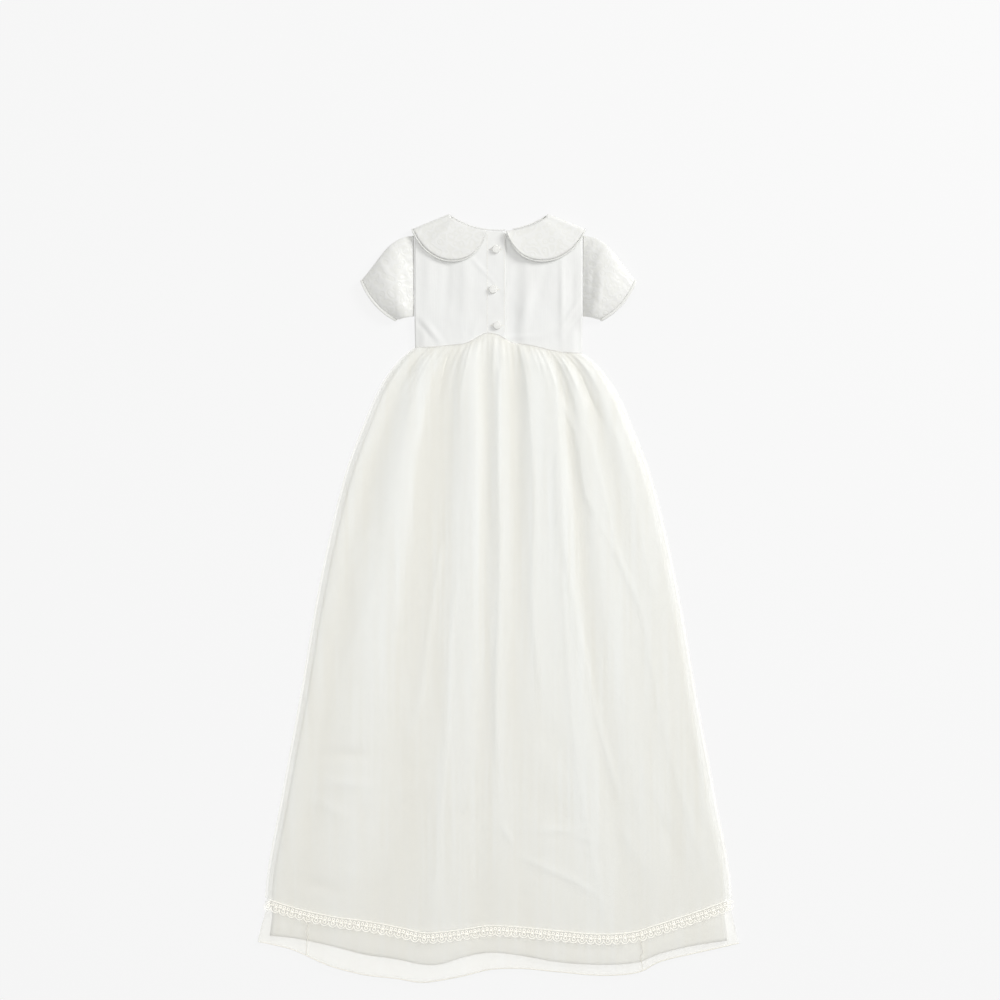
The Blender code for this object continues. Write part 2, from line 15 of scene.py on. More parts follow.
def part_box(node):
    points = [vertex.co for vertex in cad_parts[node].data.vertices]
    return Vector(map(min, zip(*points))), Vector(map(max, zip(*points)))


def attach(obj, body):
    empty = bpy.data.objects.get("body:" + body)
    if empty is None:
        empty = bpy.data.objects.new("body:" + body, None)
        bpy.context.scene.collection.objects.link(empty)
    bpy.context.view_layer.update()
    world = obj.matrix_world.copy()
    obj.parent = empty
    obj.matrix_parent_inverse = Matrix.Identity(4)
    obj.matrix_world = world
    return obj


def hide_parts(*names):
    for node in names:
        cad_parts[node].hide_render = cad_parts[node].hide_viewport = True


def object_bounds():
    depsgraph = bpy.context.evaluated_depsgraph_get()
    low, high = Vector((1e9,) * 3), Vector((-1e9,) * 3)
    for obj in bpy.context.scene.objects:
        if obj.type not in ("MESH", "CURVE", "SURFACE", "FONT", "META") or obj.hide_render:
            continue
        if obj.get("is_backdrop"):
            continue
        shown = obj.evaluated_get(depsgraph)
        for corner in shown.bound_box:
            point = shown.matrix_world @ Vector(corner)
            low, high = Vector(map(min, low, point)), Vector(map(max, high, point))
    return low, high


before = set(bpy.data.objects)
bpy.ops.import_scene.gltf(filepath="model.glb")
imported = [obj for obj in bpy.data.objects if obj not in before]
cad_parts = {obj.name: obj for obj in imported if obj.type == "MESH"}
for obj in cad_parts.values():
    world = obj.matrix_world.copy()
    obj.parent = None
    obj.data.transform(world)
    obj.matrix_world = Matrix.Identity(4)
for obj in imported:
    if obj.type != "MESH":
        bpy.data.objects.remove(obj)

CAD_BOX = [list(corner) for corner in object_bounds()]

bl_info = {
    "name": "Christening gown finish",
    "version": (1, 0, 0),
    "blender": (4, 5, 0),
    "location": "View3D > Sidebar > Gown",
    "description": "Makes the cloth, lace, stitching and buttons of a laid-out christening gown",
    "category": "Object",
}

MM = 0.001
SEAM_TOP_Y = 317.5
WAIST_HALF = 100.0
NECK_TOP_Y = 455.0
NECK_HALF = 56.5
NECK_POWER = 2.2
BACK_NECK_DEPTH = 16.5
FRONT_NECK_DEPTH = 30.5
SHOULDER_TIP_Y = 436.0
BODICE_HALF = 100.5
LAYER_STEP = 1.3

# The gown's own millimetres are set on the frame by the overskirt's box
SKIRT_LOW, SKIRT_HIGH = (Vector(corner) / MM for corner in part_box("overskirt_back"))
SHIFT = Vector((
    (SKIRT_LOW.x + SKIRT_HIGH.x) / 2.0,
    SKIRT_HIGH.y - SEAM_TOP_Y,
    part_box("overskirt_front")[0][2] / MM,
))


# Small helpers ------------------------------------------------------------------------


def mix(low, high, share):
    return low + (high - low) * share


def ease(value, start, end):
    """0 before start and 1 after end, with a soft change between."""
    share = np.clip((np.asarray(value, float) - start) / (end - start), 0.0, 1.0)
    return share * share * (3.0 - 2.0 * share)


def smooth(places, values, where):
    """A smooth curve through the values at these places, read at each of where."""
    places, values = np.asarray(places, float), np.asarray(values, float)
    where = np.clip(np.asarray(where, float), places[0], places[-1])
    at = np.clip(np.searchsorted(places, where, side="right") - 1, 0, len(places) - 2)
    before, after = np.maximum(np.arange(len(places)) - 1, 0), np.minimum(np.arange(len(places)) + 1, len(places) - 1)
    slopes = (values[after] - values[before]) / (places[after] - places[before])
    span = places[at + 1] - places[at]
    t = (where - places[at]) / span
    start = values[at] * (1.0 + 2.0 * t) * (1.0 - t) ** 2 + slopes[at] * span * t * (1.0 - t) ** 2
    end = values[at + 1] * (3.0 - 2.0 * t) * t * t - slopes[at + 1] * span * (1.0 - t) * t * t
    return start + end


def place(points):
    """Points in the gown's millimetres as points in the frame's metres."""
    return (np.asarray(points, float).reshape(-1, 3) + np.array(SHIFT)) * MM


def linear(hex_colour):
    """An sRGB hex value such as "F4F1E8" as linear red, green, blue and 1."""
    channels = [int(hex_colour[i : i + 2], 16) / 255.0 for i in (0, 2, 4)]
    turned = [c / 12.92 if c <= 0.04045 else ((c + 0.055) / 1.055) ** 2.4 for c in channels]
    return (*turned, 1.0)


def add_node(tree, kind, settings=None, **inputs):
    """Adds a node; an input given as a socket is linked, and any other value is set."""
    node = tree.nodes.new(kind)
    for name, value in (settings or {}).items():
        setattr(node, name, value)
    for name, value in inputs.items():
        socket = node.inputs[int(name[1:]) if name[1:].isdigit() else name.replace("_", " ")]
        if isinstance(value, bpy.types.NodeSocket):
            tree.links.new(value, socket)
        else:
            socket.default_value = value
    return node


def noise_values(x, y, seed, octaves=3):
    """Smooth seeded noise from -1 to 1 at points given in units of its grain."""
    total, weight = np.zeros_like(x, dtype=float), 0.0
    for octave in range(octaves):
        rng = np.random.default_rng(seed + octave)
        table = rng.uniform(-1.0, 1.0, (64, 64))
        fx, fy = x * 2.0**octave, y * 2.0**octave
        ix, iy = np.floor(fx).astype(int), np.floor(fy).astype(int)
        tx, ty = fx - ix, fy - iy
        tx, ty = tx * tx * (3 - 2 * tx), ty * ty * (3 - 2 * ty)
        corner = lambda dx, dy: table[(ix + dx) % 64, (iy + dy) % 64]
        value = mix(mix(corner(0, 0), corner(1, 0), tx), mix(corner(0, 1), corner(1, 1), tx), ty)
        total += value * 0.5**octave
        weight += 0.5**octave
    return total / weight


def mesh_from(name, points, faces, material):
    mesh = bpy.data.meshes.new(name)
    mesh.from_pydata(place(points).tolist(), [], faces)
    mesh.materials.append(material)
    mesh.shade_smooth()
    made = bpy.data.objects.new(name, mesh)
    bpy.context.scene.collection.objects.link(made)
    return made


def grid_quads(rows, columns, first=0, closed=False, flip=False):
    r = np.arange(rows - 1)[:, None]
    c = np.arange(columns if closed else columns - 1)[None, :]
    across = (c + 1) % columns
    here, below = first + r * columns, first + (r + 1) * columns
    quads = np.stack([here + c, here + across, below + across, below + c], -1).reshape(-1, 4)
    return (quads[:, ::-1] if flip else quads).tolist()


def shell(name, x, y, z, wall, material, depth=None):
    """A closed thin sheet: z is its upper face over rows running down the cloth."""
    rows, columns = z.shape
    upper = np.stack([x, y, z], -1).reshape(-1, 3)
    lower = upper - np.array([0.0, 0.0, wall])
    count = len(upper)
    faces = grid_quads(rows, columns, flip=True)
    faces += grid_quads(rows, columns, first=count)
    top = list(range(columns))
    right = [r * columns + columns - 1 for r in range(1, rows)]
    bottom = [(rows - 1) * columns + c for c in range(columns - 2, -1, -1)]
    left = [r * columns for r in range(rows - 2, 0, -1)]
    edge = top + right + bottom + left
    faces += [(b + count, b, a, a + count)[::-1] for a, b in zip(edge, edge[1:] + edge[:1])]
    made = mesh_from(name, np.concatenate([upper, lower]), faces, material)
    # The depth goes on as an attribute, which the skirt materials turn into painted shade in the troughs
    if depth is not None:
        values = np.concatenate([depth.reshape(-1), depth.reshape(-1)]).astype(np.float32)
        made.data.attributes.new("depth", "FLOAT", "POINT").data.foreach_set("value", values)
    return made


def finish(piece, slot, *nodes):
    """Says what a piece rides on and hides the CAD nodes it stands for; the material slot it is given is not used."""
    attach(piece, "root")
    if nodes:
        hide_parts(*nodes)
    return piece


# The skirt's own sizes ------------------------------------------------------------------

Row = namedtuple("Row", "down half_width organza_in satin_in")
SKIRT_ROWS = (
    Row(0.000, 100.0, 2.0, 4.5),
    Row(0.012, 111.0, 2.0, 5.0),
    Row(0.035, 126.0, 2.5, 6.0),
    Row(0.080, 145.0, 3.0, 7.0),
    Row(0.140, 162.0, 3.0, 8.0),
    Row(0.220, 182.0, 3.0, 8.0),
    Row(0.330, 201.0, 3.0, 8.0),
    Row(0.470, 220.0, 3.0, 8.0),
    Row(0.640, 239.0, 3.0, 8.0),
    Row(0.820, 261.0, 3.0, 8.0),
    Row(1.000, 280.0, 3.0, 8.0),
)
# Past the lace line, down counts on by one for each of these edges
HEM_ROWS = (
    Row(2.000, 281.5, 2.5, 10.5),
    Row(3.000, 290.0, 3.0, 16.0),
    Row(4.000, 291.6, 3.0, 17.0),
)

Hem = namedtuple("Hem", "across lace_line satin_hem sheer_hem")
HEMS = (
    Hem(-1.00, -360.0, -404.0, -412.0),
    Hem(-0.85, -373.0, -408.0, -422.0),
    Hem(-0.70, -382.0, -417.0, -441.0),
    Hem(-0.55, -388.0, -428.0, -452.5),
    Hem(-0.42, -395.0, -433.5, -457.0),
    Hem(-0.32, -401.0, -439.5, -461.5),
    Hem(-0.24, -400.0, -439.5, -459.0),
    Hem(-0.14, -396.5, -430.5, -453.5),
    Hem(-0.03, -392.5, -425.5, -446.0),
    Hem(0.10, -394.5, -429.5, -445.0),
    Hem(0.25, -398.5, -437.0, -449.0),
    Hem(0.43, -402.5, -440.0, -453.0),
    Hem(0.58, -400.0, -437.0, -449.0),
    Hem(0.66, -393.0, -427.5, -437.0),
    Hem(0.80, -380.5, -417.5, -427.0),
    Hem(1.00, -360.5, -409.0, -414.0),
)
LACE_DEPTH = 13.0

# Crests and troughs from the gathers to the hem: where each crosses, as a share of the
# half width, and how high it stands, at four places down the skirt
Fold = namedtuple("Fold", "name seam_y crosses heights")
FOLDS = (
    Fold("left roll", 300.5, (-0.93, -0.93, -0.93, -0.93), (2.0, 3.0, 1.5, 1.0)),
    Fold("left trough", 300.5, (-0.83, -0.84, -0.86, -0.85), (0.8, 0.0, 0.4, 0.5)),
    Fold("left ridge", 301.5, (-0.70, -0.66, -0.70, -0.70), (6.0, 7.5, 4.0, 1.5)),
    Fold("left ridge edge", 302.5, (-0.62, -0.59, -0.57, -0.57), (5.0, 6.5, 3.5, 1.0)),
    Fold("deep gap", 303.0, (-0.56, -0.53, -0.51, -0.49), (0.0, 0.0, 0.4, 0.4)),
    Fold("gap far side", 304.5, (-0.42, -0.36, -0.36, -0.38), (1.5, 0.4, 0.8, 0.8)),
    Fold("inner ridge", 308.0, (-0.33, -0.24, -0.24, -0.28), (6.0, 6.0, 3.5, 2.0)),
    Fold("inner ridge edge", 314.0, (-0.22, -0.15, -0.14, -0.16), (6.5, 7.5, 4.5, 2.0)),
    Fold("left centre trough", 317.5, (-0.14, -0.09, -0.08, -0.08), (0.4, 0.4, 0.8, 0.8)),
    Fold("centre crease", 315.0, (0.00, 0.00, 0.00, 0.02), (4.0, 5.0, 3.5, 1.5)),
    Fold("right centre trough", 305.5, (0.17, 0.12, 0.09, 0.10), (0.0, 0.0, 0.8, 0.8)),
    Fold("right centre edge", 304.5, (0.27, 0.21, 0.19, 0.20), (6.0, 5.5, 3.5, 2.0)),
    Fold("right ridge", 302.5, (0.40, 0.33, 0.30, 0.34), (7.5, 7.0, 4.5, 2.0)),
    Fold("right ridge edge", 300.0, (0.50, 0.43, 0.41, 0.50), (6.0, 7.5, 5.0, 2.5)),
    Fold("wedge trough", 298.5, (0.56, 0.50, 0.48, 0.58), (0.0, 0.0, 1.0, 1.0)),
    Fold("outer ridge", 296.0, (0.67, 0.60, 0.60, 0.70), (6.0, 5.0, 4.0, 2.0)),
    Fold("short trough", 294.5, (0.76, 0.74, 0.72, 0.80), (0.4, 2.0, 2.8, 1.0)),
    Fold("right roll", 294.0, (0.86, 0.84, 0.83, 0.88), (4.0, 4.5, 3.0, 1.5)),
    Fold("right edge", 293.5, (0.93, 0.93, 0.93, 0.94), (2.0, 2.5, 1.5, 1.0)),
)
CROSSED_AT = (0.035, 0.20, 0.50, 1.00)
GATHERED_BY = 0.035

# Creases that run down the organza: points of the route, then the crest's height and
# how wide it falls away on its left and on its right
Crease = namedtuple("Crease", "name route height left right")
ORGANZA_CREASES = (
    Crease("left of inner ridge", ((-68, 62), (-75, 14), (-85, -63), (-94, -130), (-113, -173)), 1.5, 7, 2.5),
    Crease("long left", ((-46, 33), (-56, -39), (-61, -159), (-68, -255), (-75, -389)), 0.9, 5, 3),
    Crease("centre", ((1, 283), (0, 177), (2, 81), (1, -15), (-3, -111), (-2, -200)), 1.8, 3, 4),
    Crease("right of centre", ((33, 273), (43, 115), (40, 9), (47, -87), (52, -116)), 1.2, 3, 6),
    Crease("ridge line", ((57, 225), (57, 150), (58, 81)), 0.5, 4, 4),
    Crease("ridge line 2", ((69, 177), (70, 110), (71, 57)), 0.5, 4, 3),
    Crease("main", ((69, 273), (76, 129), (81, 52), (93, -15), (112, -111), (124, -164), (146, -241)), 1.8, 6, 2.5),
    Crease("long right", ((76, 33), (88, -135), (103, -255), (112, -303), (124, -365), (131, -399)), 1.0, 4, 3),
    Crease("wedge", ((74, 239), (91, 196), (105, 119), (118, 95)), 1.8, 2.5, 6),
    Crease("outer long", ((118, 95), (141, 52), (170, -15), (184, -87), (199, -159), (218, -231), (256, -351)), 0.9, 3, 5),
    Crease("outer fan 1", ((103, 211), (122, 139), (146, 43), (163, -5)), 0.8, 3, 4),
    Crease("outer fan 2", ((136, 211), (160, 129), (175, 52), (191, -10)), 0.7, 3, 4),
    Crease("short", ((93, 283), (104, 250), (118, 222), (126, 205)), -1.4, 4, 4),
    Crease("left fan 1", ((-147, 91), (-195, 14), (-233, -63)), 0.6, 5, 4),
    Crease("left fan 2", ((-142, 33), (-163, -30), (-185, -87)), 0.6, 6, 4),
    Crease("left gather 1", ((-70, 297), (-84, 272), (-106, 236)), -1.4, 3, 3),
    Crease("left gather 2", ((-79, 299), (-96, 275), (-122, 238)), 1.2, 3, 3),
    Crease("left gather 3", ((-59, 298), (-68, 262), (-76, 225)), -1.2, 3, 3),
    Crease("left gather 4", ((-88, 297), (-108, 274), (-130, 245)), -1.0, 3, 3),
)

# Soft dents and swells of the satin, some of which press through the organza
Dent = namedtuple("Dent", "x y turn length width height")
SATIN_DENTS = (
    Dent(-178, -188, 2, 52, 14, -1.6),
    Dent(-182, -222, -4, 46, 12, 1.3),
    Dent(-228, -268, 60, 40, 16, -1.2),
    Dent(-200, -252, -28, 44, 12, 0.9),
    Dent(-160, -262, 70, 36, 12, -0.9),
    Dent(-130, -290, 62, 40, 10, 0.9),
    Dent(-175, -330, 65, 30, 8, 0.9),
    Dent(-140, -345, 60, 32, 8, -0.9),
    Dent(-215, -345, -12, 44, 14, -1.2),
    Dent(-110, -230, 30, 36, 16, 0.9),
    Dent(-42, -260, 20, 24, 20, -1.0),
    Dent(10, -284, -62, 24, 4, 2.2),
    Dent(70, -278, 3, 62, 5, 1.2),
    Dent(105, -288, -18, 40, 5, 1.0),
    Dent(60, -325, -24, 70, 7, 1.2),
    Dent(100, -345, -32, 52, 7, 1.0),
    Dent(64, -250, -52, 70, 40, -1.1),
    Dent(62, -170, -55, 60, 24, -0.8),
    Dent(20, -345, 78, 26, 8, 0.7),
    Dent(160, -300, -60, 70, 12, 0.8),
    Dent(205, -290, -66, 80, 12, -0.8),
    Dent(185, -230, -68, 70, 16, 0.7),
    Dent(232, -190, -78, 50, 8, -1.0),
    Dent(246, -250, -78, 40, 7, 0.9),
    Dent(-80, -350, 74, 46, 9, 0.8),
    Dent(-30, -330, 82, 40, 8, -0.7),
)
GATHER_COUNT = 30


def skirt_half(down):
    rows = SKIRT_ROWS + HEM_ROWS
    return smooth([row.down for row in rows], [row.half_width for row in rows], down)


def inset(down, column):
    rows = SKIRT_ROWS + HEM_ROWS
    return smooth([row.down for row in rows], [getattr(row, column) for row in rows], down)


def seam_y(across):
    """The back's waist seam."""
    places = [-1.0] + [fold.crosses[0] for fold in FOLDS] + [1.0]
    heights = [FOLDS[0].seam_y] + [fold.seam_y for fold in FOLDS] + [FOLDS[-1].seam_y]
    return smooth(places, heights, across)


def front_seam_y(across):
    return mix(FOLDS[0].seam_y, FOLDS[-1].seam_y, (across + 1.0) / 2.0)


def hem_y(across, column):
    return smooth([hem.across for hem in HEMS], [getattr(hem, column) for hem in HEMS], across)


def skirt_y(across, down, seam):
    """How far up the cloth lies; down passes 1 at the lace line, then 2, 3 and 4."""
    lace = hem_y(across, "lace_line")
    y = mix(seam(across), lace, np.minimum(down, 1.0))
    y = np.where(down > 1.0, mix(lace, lace - LACE_DEPTH, np.clip(down - 1.0, 0, 1)), y)
    satin = hem_y(across, "satin_hem")
    y = np.where(down > 2.0, mix(lace - LACE_DEPTH, satin, np.clip(down - 2.0, 0, 1)), y)
    return np.where(down > 3.0, mix(satin, hem_y(across, "sheer_hem"), np.clip(down - 3.0, 0, 1)), y)


def fold_height(across, down):
    """The folded surface's height over its troughs, at each point of a grid."""
    height = np.zeros_like(across)
    for r in range(across.shape[0]):
        at = float(np.clip(down[r, 0], CROSSED_AT[0], 1.0))
        crosses = [float(smooth(CROSSED_AT, fold.crosses, at)) for fold in FOLDS]
        heights = [float(smooth(CROSSED_AT, fold.heights, at)) for fold in FOLDS]
        height[r] = smooth([-1.0] + crosses + [1.0], [0.0] + heights + [0.0], across[r])
    return height * mix(0.12, 1.0, ease(down, 0.0, GATHERED_BY))


def crease_height(x, y, creases):
    total = np.zeros_like(x)
    for crease in creases:
        route = sorted(crease.route, key=lambda point: point[1])
        ys = [point[1] for point in route]
        centre = smooth(ys, [point[0] for point in route], y)
        away = x - centre
        width = np.where(away < 0.0, crease.left, crease.right)
        reach = min(28.0, (ys[-1] - ys[0]) * 0.35)
        ends = ease(y, ys[0] - reach * 0.3, ys[0] + reach) * (1.0 - ease(y, ys[-1] - reach * 0.6, ys[-1] + 4.0))
        total += crease.height * np.exp(-np.abs(away / width) ** 1.5) * ends
    return total


def dent_height(x, y, dents):
    total = np.zeros_like(x)
    for dent in dents:
        turn = math.radians(dent.turn)
        along = (x - dent.x) * math.cos(turn) + (y - dent.y) * math.sin(turn)
        over = -(x - dent.x) * math.sin(turn) + (y - dent.y) * math.cos(turn)
        total += dent.height * np.exp(-((along / (dent.length / 2)) ** 2) - (over / (dent.width / 2)) ** 2)
    return total


def gather_height(across, down, seed, count, height):
    """Small pleats at the waist seam, uneven in place, height and length."""
    rng = np.random.default_rng(seed)
    total = np.zeros_like(across)
    for i in range(count):
        at = -0.96 + 1.92 * (i + rng.uniform(0.2, 0.8)) / count
        width = rng.uniform(0.012, 0.022)
        reach = rng.uniform(0.05, 0.16)
        size = height * rng.uniform(0.35, 1.0)
        drift = at * (1.0 + rng.uniform(-0.15, 0.15) * down)
        total += size * np.exp(-(((across - drift) / width) ** 2)) * (1.0 - ease(down, 0.2 * reach, reach))
    return total * ease(down, 0.0, 0.010)


def edge_fall(from_side, organza_in, satin_in):
    """How far a back layer comes down between the satin's edge and the gown's side."""
    far = np.clip(from_side / satin_in, 0.0, 1.6)
    return -5.2 * (1.0 - ease(far, 0.0, 1.6)) ** 1.6


LAYERS = {"satin": 0, "long": 1, "over": 2}
FOLD_SHARE = {"satin": 0.38, "long": 0.70, "over": 1.00}


def back_layer(layer, step, wall, last):
    """The upper face of a back layer of the skirt as grids of x, y and z, and its depth."""
    lengths = np.linspace(0.0, 1.0, int(690.0 / step) + 1)
    beyond = [np.linspace(edge, edge + 1.0, 8)[1:] for edge in range(1, last)]
    down_line = np.concatenate([lengths**1.08] + beyond)
    columns = int(562.0 / step)
    share_line = np.linspace(-1.0, 1.0, columns)
    share, down = np.meshgrid(share_line, down_line)
    half = skirt_half(down)
    side_in = {"satin": inset(down, "satin_in"), "long": inset(down, "organza_in")}.get(layer, 0.0)
    x = share * (half - side_in)
    across = x / half
    y = skirt_y(across, down, seam_y)
    folds = fold_height(across, down)
    from_side = half - np.abs(x)
    z = wall + (3 + LAYERS[layer]) * LAYER_STEP + folds * FOLD_SHARE[layer]
    z += edge_fall(from_side, 3.0, inset(down, "satin_in"))
    ends = ease(from_side, 0.0, 12.0)
    z += ends * dent_height(x, y, SATIN_DENTS) * {"satin": 0.7, "long": 0.7, "over": 0.8}[layer]
    slow = noise_values(x / 34.0 + 7.3, y / 120.0 + 9.1, 11)
    z += ends * (1.0 + slow) * 0.5 * {"satin": 0.4, "long": 0.9, "over": 1.2}[layer]
    if layer == "satin":
        z += ends * gather_height(across, down, 5, GATHER_COUNT, 0.9)
        z += ends * 0.5 * noise_values(x / 42.0, y / 38.0, 23) * ease(down, 0.5, 0.8)
    else:
        strength = {"long": 0.55, "over": 1.0}[layer]
        z += ends * strength * 1.3 * crease_height(x, y, ORGANZA_CREASES)
        z += ends * strength * gather_height(across, down, 9, GATHER_COUNT, 1.9)
        z += ends * strength * 0.35 * noise_values(x / 9.0 + 3.1, y / 150.0 + 1.7, 31 + LAYERS[layer])
    # The relief is the mask of the painted fold shade; near the sides it is eased towards 3 mm, so the falling edge
    # is not painted darker
    relief = mix(3.0, z - wall - (3 + LAYERS[layer]) * LAYER_STEP, ease(from_side, 0.0, 26.0))
    sink = 2.6 * ease(down, 2.6, 4.0)
    lowest = wall + (3 - LAYERS[layer]) * LAYER_STEP
    return x, y, np.maximum(z - sink, lowest), relief


def front_layer(layer, step, wall, last):
    """A front layer's upper face: pressed flat, with the same kind of creases mirrored."""
    lengths = np.linspace(0.0, 1.0, int(690.0 / step) + 1)
    beyond = [np.linspace(edge, edge + 1.0, 4)[1:] for edge in range(1, last)]
    down_line = np.concatenate([lengths] + beyond)
    share_line = np.linspace(-1.0, 1.0, int(562.0 / step))
    share, down = np.meshgrid(share_line, down_line)
    half = skirt_half(down)
    side_in = {"satin": inset(down, "satin_in"), "long": inset(down, "organza_in")}.get(layer, 0.0)
    x = share * (half - side_in)
    y = skirt_y(x / half, down, front_seam_y)
    creases = crease_height(-x, y, ORGANZA_CREASES) + 0.8 * dent_height(-x, y, SATIN_DENTS)
    creases += gather_height(-x / half, down, 17, GATHER_COUNT, 1.6)
    creases += 0.5 * noise_values(x / 16.0, y / 140.0, 41)
    z = wall + (2 - LAYERS[layer]) * LAYER_STEP + 0.28 * np.clip(creases, 0.0, 2.4)
    # The creases go out as the mask of the painted fold shade
    return x, y, z, creases


# Materials ------------------------------------------------------------------------------


def new_material(name):
    made = bpy.data.materials.new(name)
    made.use_nodes = True
    made.node_tree.nodes.clear()
    return made, made.node_tree


def output(tree, shader):
    add_node(tree, "ShaderNodeOutputMaterial", Surface=shader)


def object_coordinates(tree, scale):
    """Object coordinates multiplied so that one pattern unit is the given size in mm."""
    coordinates = add_node(tree, "ShaderNodeTexCoord").outputs["Object"]
    size = tuple(1000.0 / length for length in scale)
    return add_node(tree, "ShaderNodeMapping", Vector=coordinates, Scale=size).outputs[0]


def painted_fold_shade_and_streaks(tree):
    """Painted fold shade: 0 deep in a trough of the folds, where the shade is painted in, rising towards 1 on a
    ridge, broken by uneven streaks along the warp.
    """
    depth = add_node(tree, "ShaderNodeAttribute", {"attribute_name": "depth"}).outputs["Fac"]
    # The depth of the folds read as painted shade: the deeper the trough, the darker the colour
    rise = add_node(
        tree, "ShaderNodeMapRange", Value=depth, From_Min=0.2, From_Max=4.6, To_Min=0.0, To_Max=0.80
    ).outputs[0]
    warp = add_node(
        tree, "ShaderNodeTexNoise", Vector=object_coordinates(tree, (3.4, 170.0, 8.0)), Scale=1.0, Detail=3.0
    ).outputs[0]
    streaks = add_node(
        tree, "ShaderNodeMapRange", Value=warp, From_Min=0.33, From_Max=0.67, To_Min=-0.30, To_Max=0.34
    ).outputs[0]
    return add_node(tree, "ShaderNodeMath", {"operation": "ADD", "use_clamp": True}, i0=rise, i1=streaks).outputs[0]


def satin_material(name, light, shade, roughness, folded=False):
    """Woven satin: long floats give a soft broad gloss, with faint streaks along the warp."""
    made, tree = new_material(name)
    streaks = add_node(
        tree, "ShaderNodeTexNoise", Vector=object_coordinates(tree, (1.6, 26.0, 8.0)), Scale=1.0, Detail=3.0
    ).outputs[0]
    cloud = add_node(
        tree, "ShaderNodeTexNoise", Vector=object_coordinates(tree, (46.0, 70.0, 40.0)), Scale=1.0, Detail=2.0
    ).outputs[0]
    # Folded satin takes painted shade: its colour darkens in the troughs of the folds; unfolded satin has a random
    # cloud of tone instead
    share = painted_fold_shade_and_streaks(tree) if folded else cloud
    colour = add_node(
        tree, "ShaderNodeMix", {"data_type": "RGBA"}, i0=share, i6=tuple(shade), i7=tuple(light)
    ).outputs[2]
    bump = add_node(tree, "ShaderNodeBump", Height=streaks, Strength=0.25, Distance=0.0004)
    shader = add_node(tree, "ShaderNodeBsdfPrincipled", Base_Color=colour, Normal=bump.outputs[0])
    shader.inputs["Roughness"].default_value = roughness
    shader.inputs["Sheen Weight"].default_value = 0.25
    output(tree, shader.outputs[0])
    return made


def organza_material(name, tint, shade, alpha, glow):
    """Silk organza: a crisp sheer plain weave, with a dry sparkle from its fine threads."""
    made, tree = new_material(name)
    weave = add_node(
        tree, "ShaderNodeTexNoise", Vector=object_coordinates(tree, (1.8, 5.0, 3.0)), Scale=1.0, Detail=2.0
    ).outputs[0]
    bump = add_node(tree, "ShaderNodeBump", Height=weave, Strength=0.35, Distance=0.0004)
    shader = add_node(tree, "ShaderNodeBsdfPrincipled", Normal=bump.outputs[0])
    # Painted fold shade: the colour, and the glow's colour with it, darkens in the troughs of the folds
    colour = add_node(
        tree, "ShaderNodeMix", {"data_type": "RGBA"}, i0=painted_fold_shade_and_streaks(tree), i6=tuple(shade), i7=tuple(tint)
    ).outputs[2]
    tree.links.new(colour, shader.inputs["Base Color"])
    tree.links.new(colour, shader.inputs["Emission Color"])
    shader.inputs["Roughness"].default_value = 0.42
    shader.inputs["Alpha"].default_value = alpha
    # Its threads hand light on from layer to layer, which a faint glow stands for
    shader.inputs["Emission Strength"].default_value = glow
    output(tree, shader.outputs[0])
    return made


def jacquard_material(name, light, shade):
    """Jacquard satin: a faint figure of rounded sprigs, glossier than its ground."""
    made, tree = new_material(name)
    where = object_coordinates(tree, (8.0, 8.0, 8.0))
    sprigs = add_node(tree, "ShaderNodeTexVoronoi", {"feature": "SMOOTH_F1"}, Vector=where, Scale=1.0).outputs[0]
    rings = add_node(tree, "ShaderNodeMath", {"operation": "PINGPONG"}, i0=sprigs, i1=0.17).outputs[0]
    figure = add_node(
        tree, "ShaderNodeMapRange", Value=rings, From_Min=0.04, From_Max=0.13, To_Min=0.35, To_Max=1.0
    ).outputs[0]
    colour = add_node(
        tree, "ShaderNodeMix", {"data_type": "RGBA"}, i0=figure, i6=tuple(shade), i7=tuple(light)
    ).outputs[2]
    gloss = add_node(
        tree, "ShaderNodeMapRange", Value=figure, From_Min=0.0, From_Max=1.0, To_Min=0.5, To_Max=0.34
    ).outputs[0]
    bump = add_node(tree, "ShaderNodeBump", Height=figure, Strength=0.35, Distance=0.0005)
    shader = add_node(
        tree, "ShaderNodeBsdfPrincipled", Base_Color=colour, Roughness=gloss, Normal=bump.outputs[0]
    )
    shader.inputs["Sheen Weight"].default_value = 0.2
    output(tree, shader.outputs[0])
    return made


def thread_material(name, tint, roughness, glow, alpha=1.0):
    """Twisted thread, cord or net: matt fibre with a fine uneven twist."""
    made, tree = new_material(name)
    twist = add_node(
        tree, "ShaderNodeTexNoise", Vector=object_coordinates(tree, (0.9, 0.9, 0.9)), Scale=1.0, Detail=2.0
    ).outputs[0]
    bump = add_node(tree, "ShaderNodeBump", Height=twist, Strength=0.4, Distance=0.0003)
    shader = add_node(tree, "ShaderNodeBsdfPrincipled", Normal=bump.outputs[0])
    shader.inputs["Base Color"].default_value = tuple(tint)
    shader.inputs["Roughness"].default_value = roughness
    shader.inputs["Alpha"].default_value = alpha
    # Light handed on between close fibres, which a faint glow stands for
    shader.inputs["Emission Color"].default_value = tuple(tint)
    shader.inputs["Emission Strength"].default_value = glow
    output(tree, shader.outputs[0])
    return made


def pearl_material(name, light, shade):
    """Pearl button: cast polyester with clouded layers under a glossy skin."""
    made, tree = new_material(name)
    cloud = add_node(
        tree, "ShaderNodeTexNoise", Vector=object_coordinates(tree, (5.0, 3.0, 4.0)), Scale=1.0, Distortion=1.5
    ).outputs[0]
    colour = add_node(
        tree, "ShaderNodeMix", {"data_type": "RGBA"}, i0=cloud, i6=tuple(shade), i7=tuple(light)
    ).outputs[2]
    shader = add_node(tree, "ShaderNodeBsdfPrincipled", Base_Color=colour)
    shader.inputs["Roughness"].default_value = 0.18
    shader.inputs["Coat Weight"].default_value = 0.4
    output(tree, shader.outputs[0])
    return made


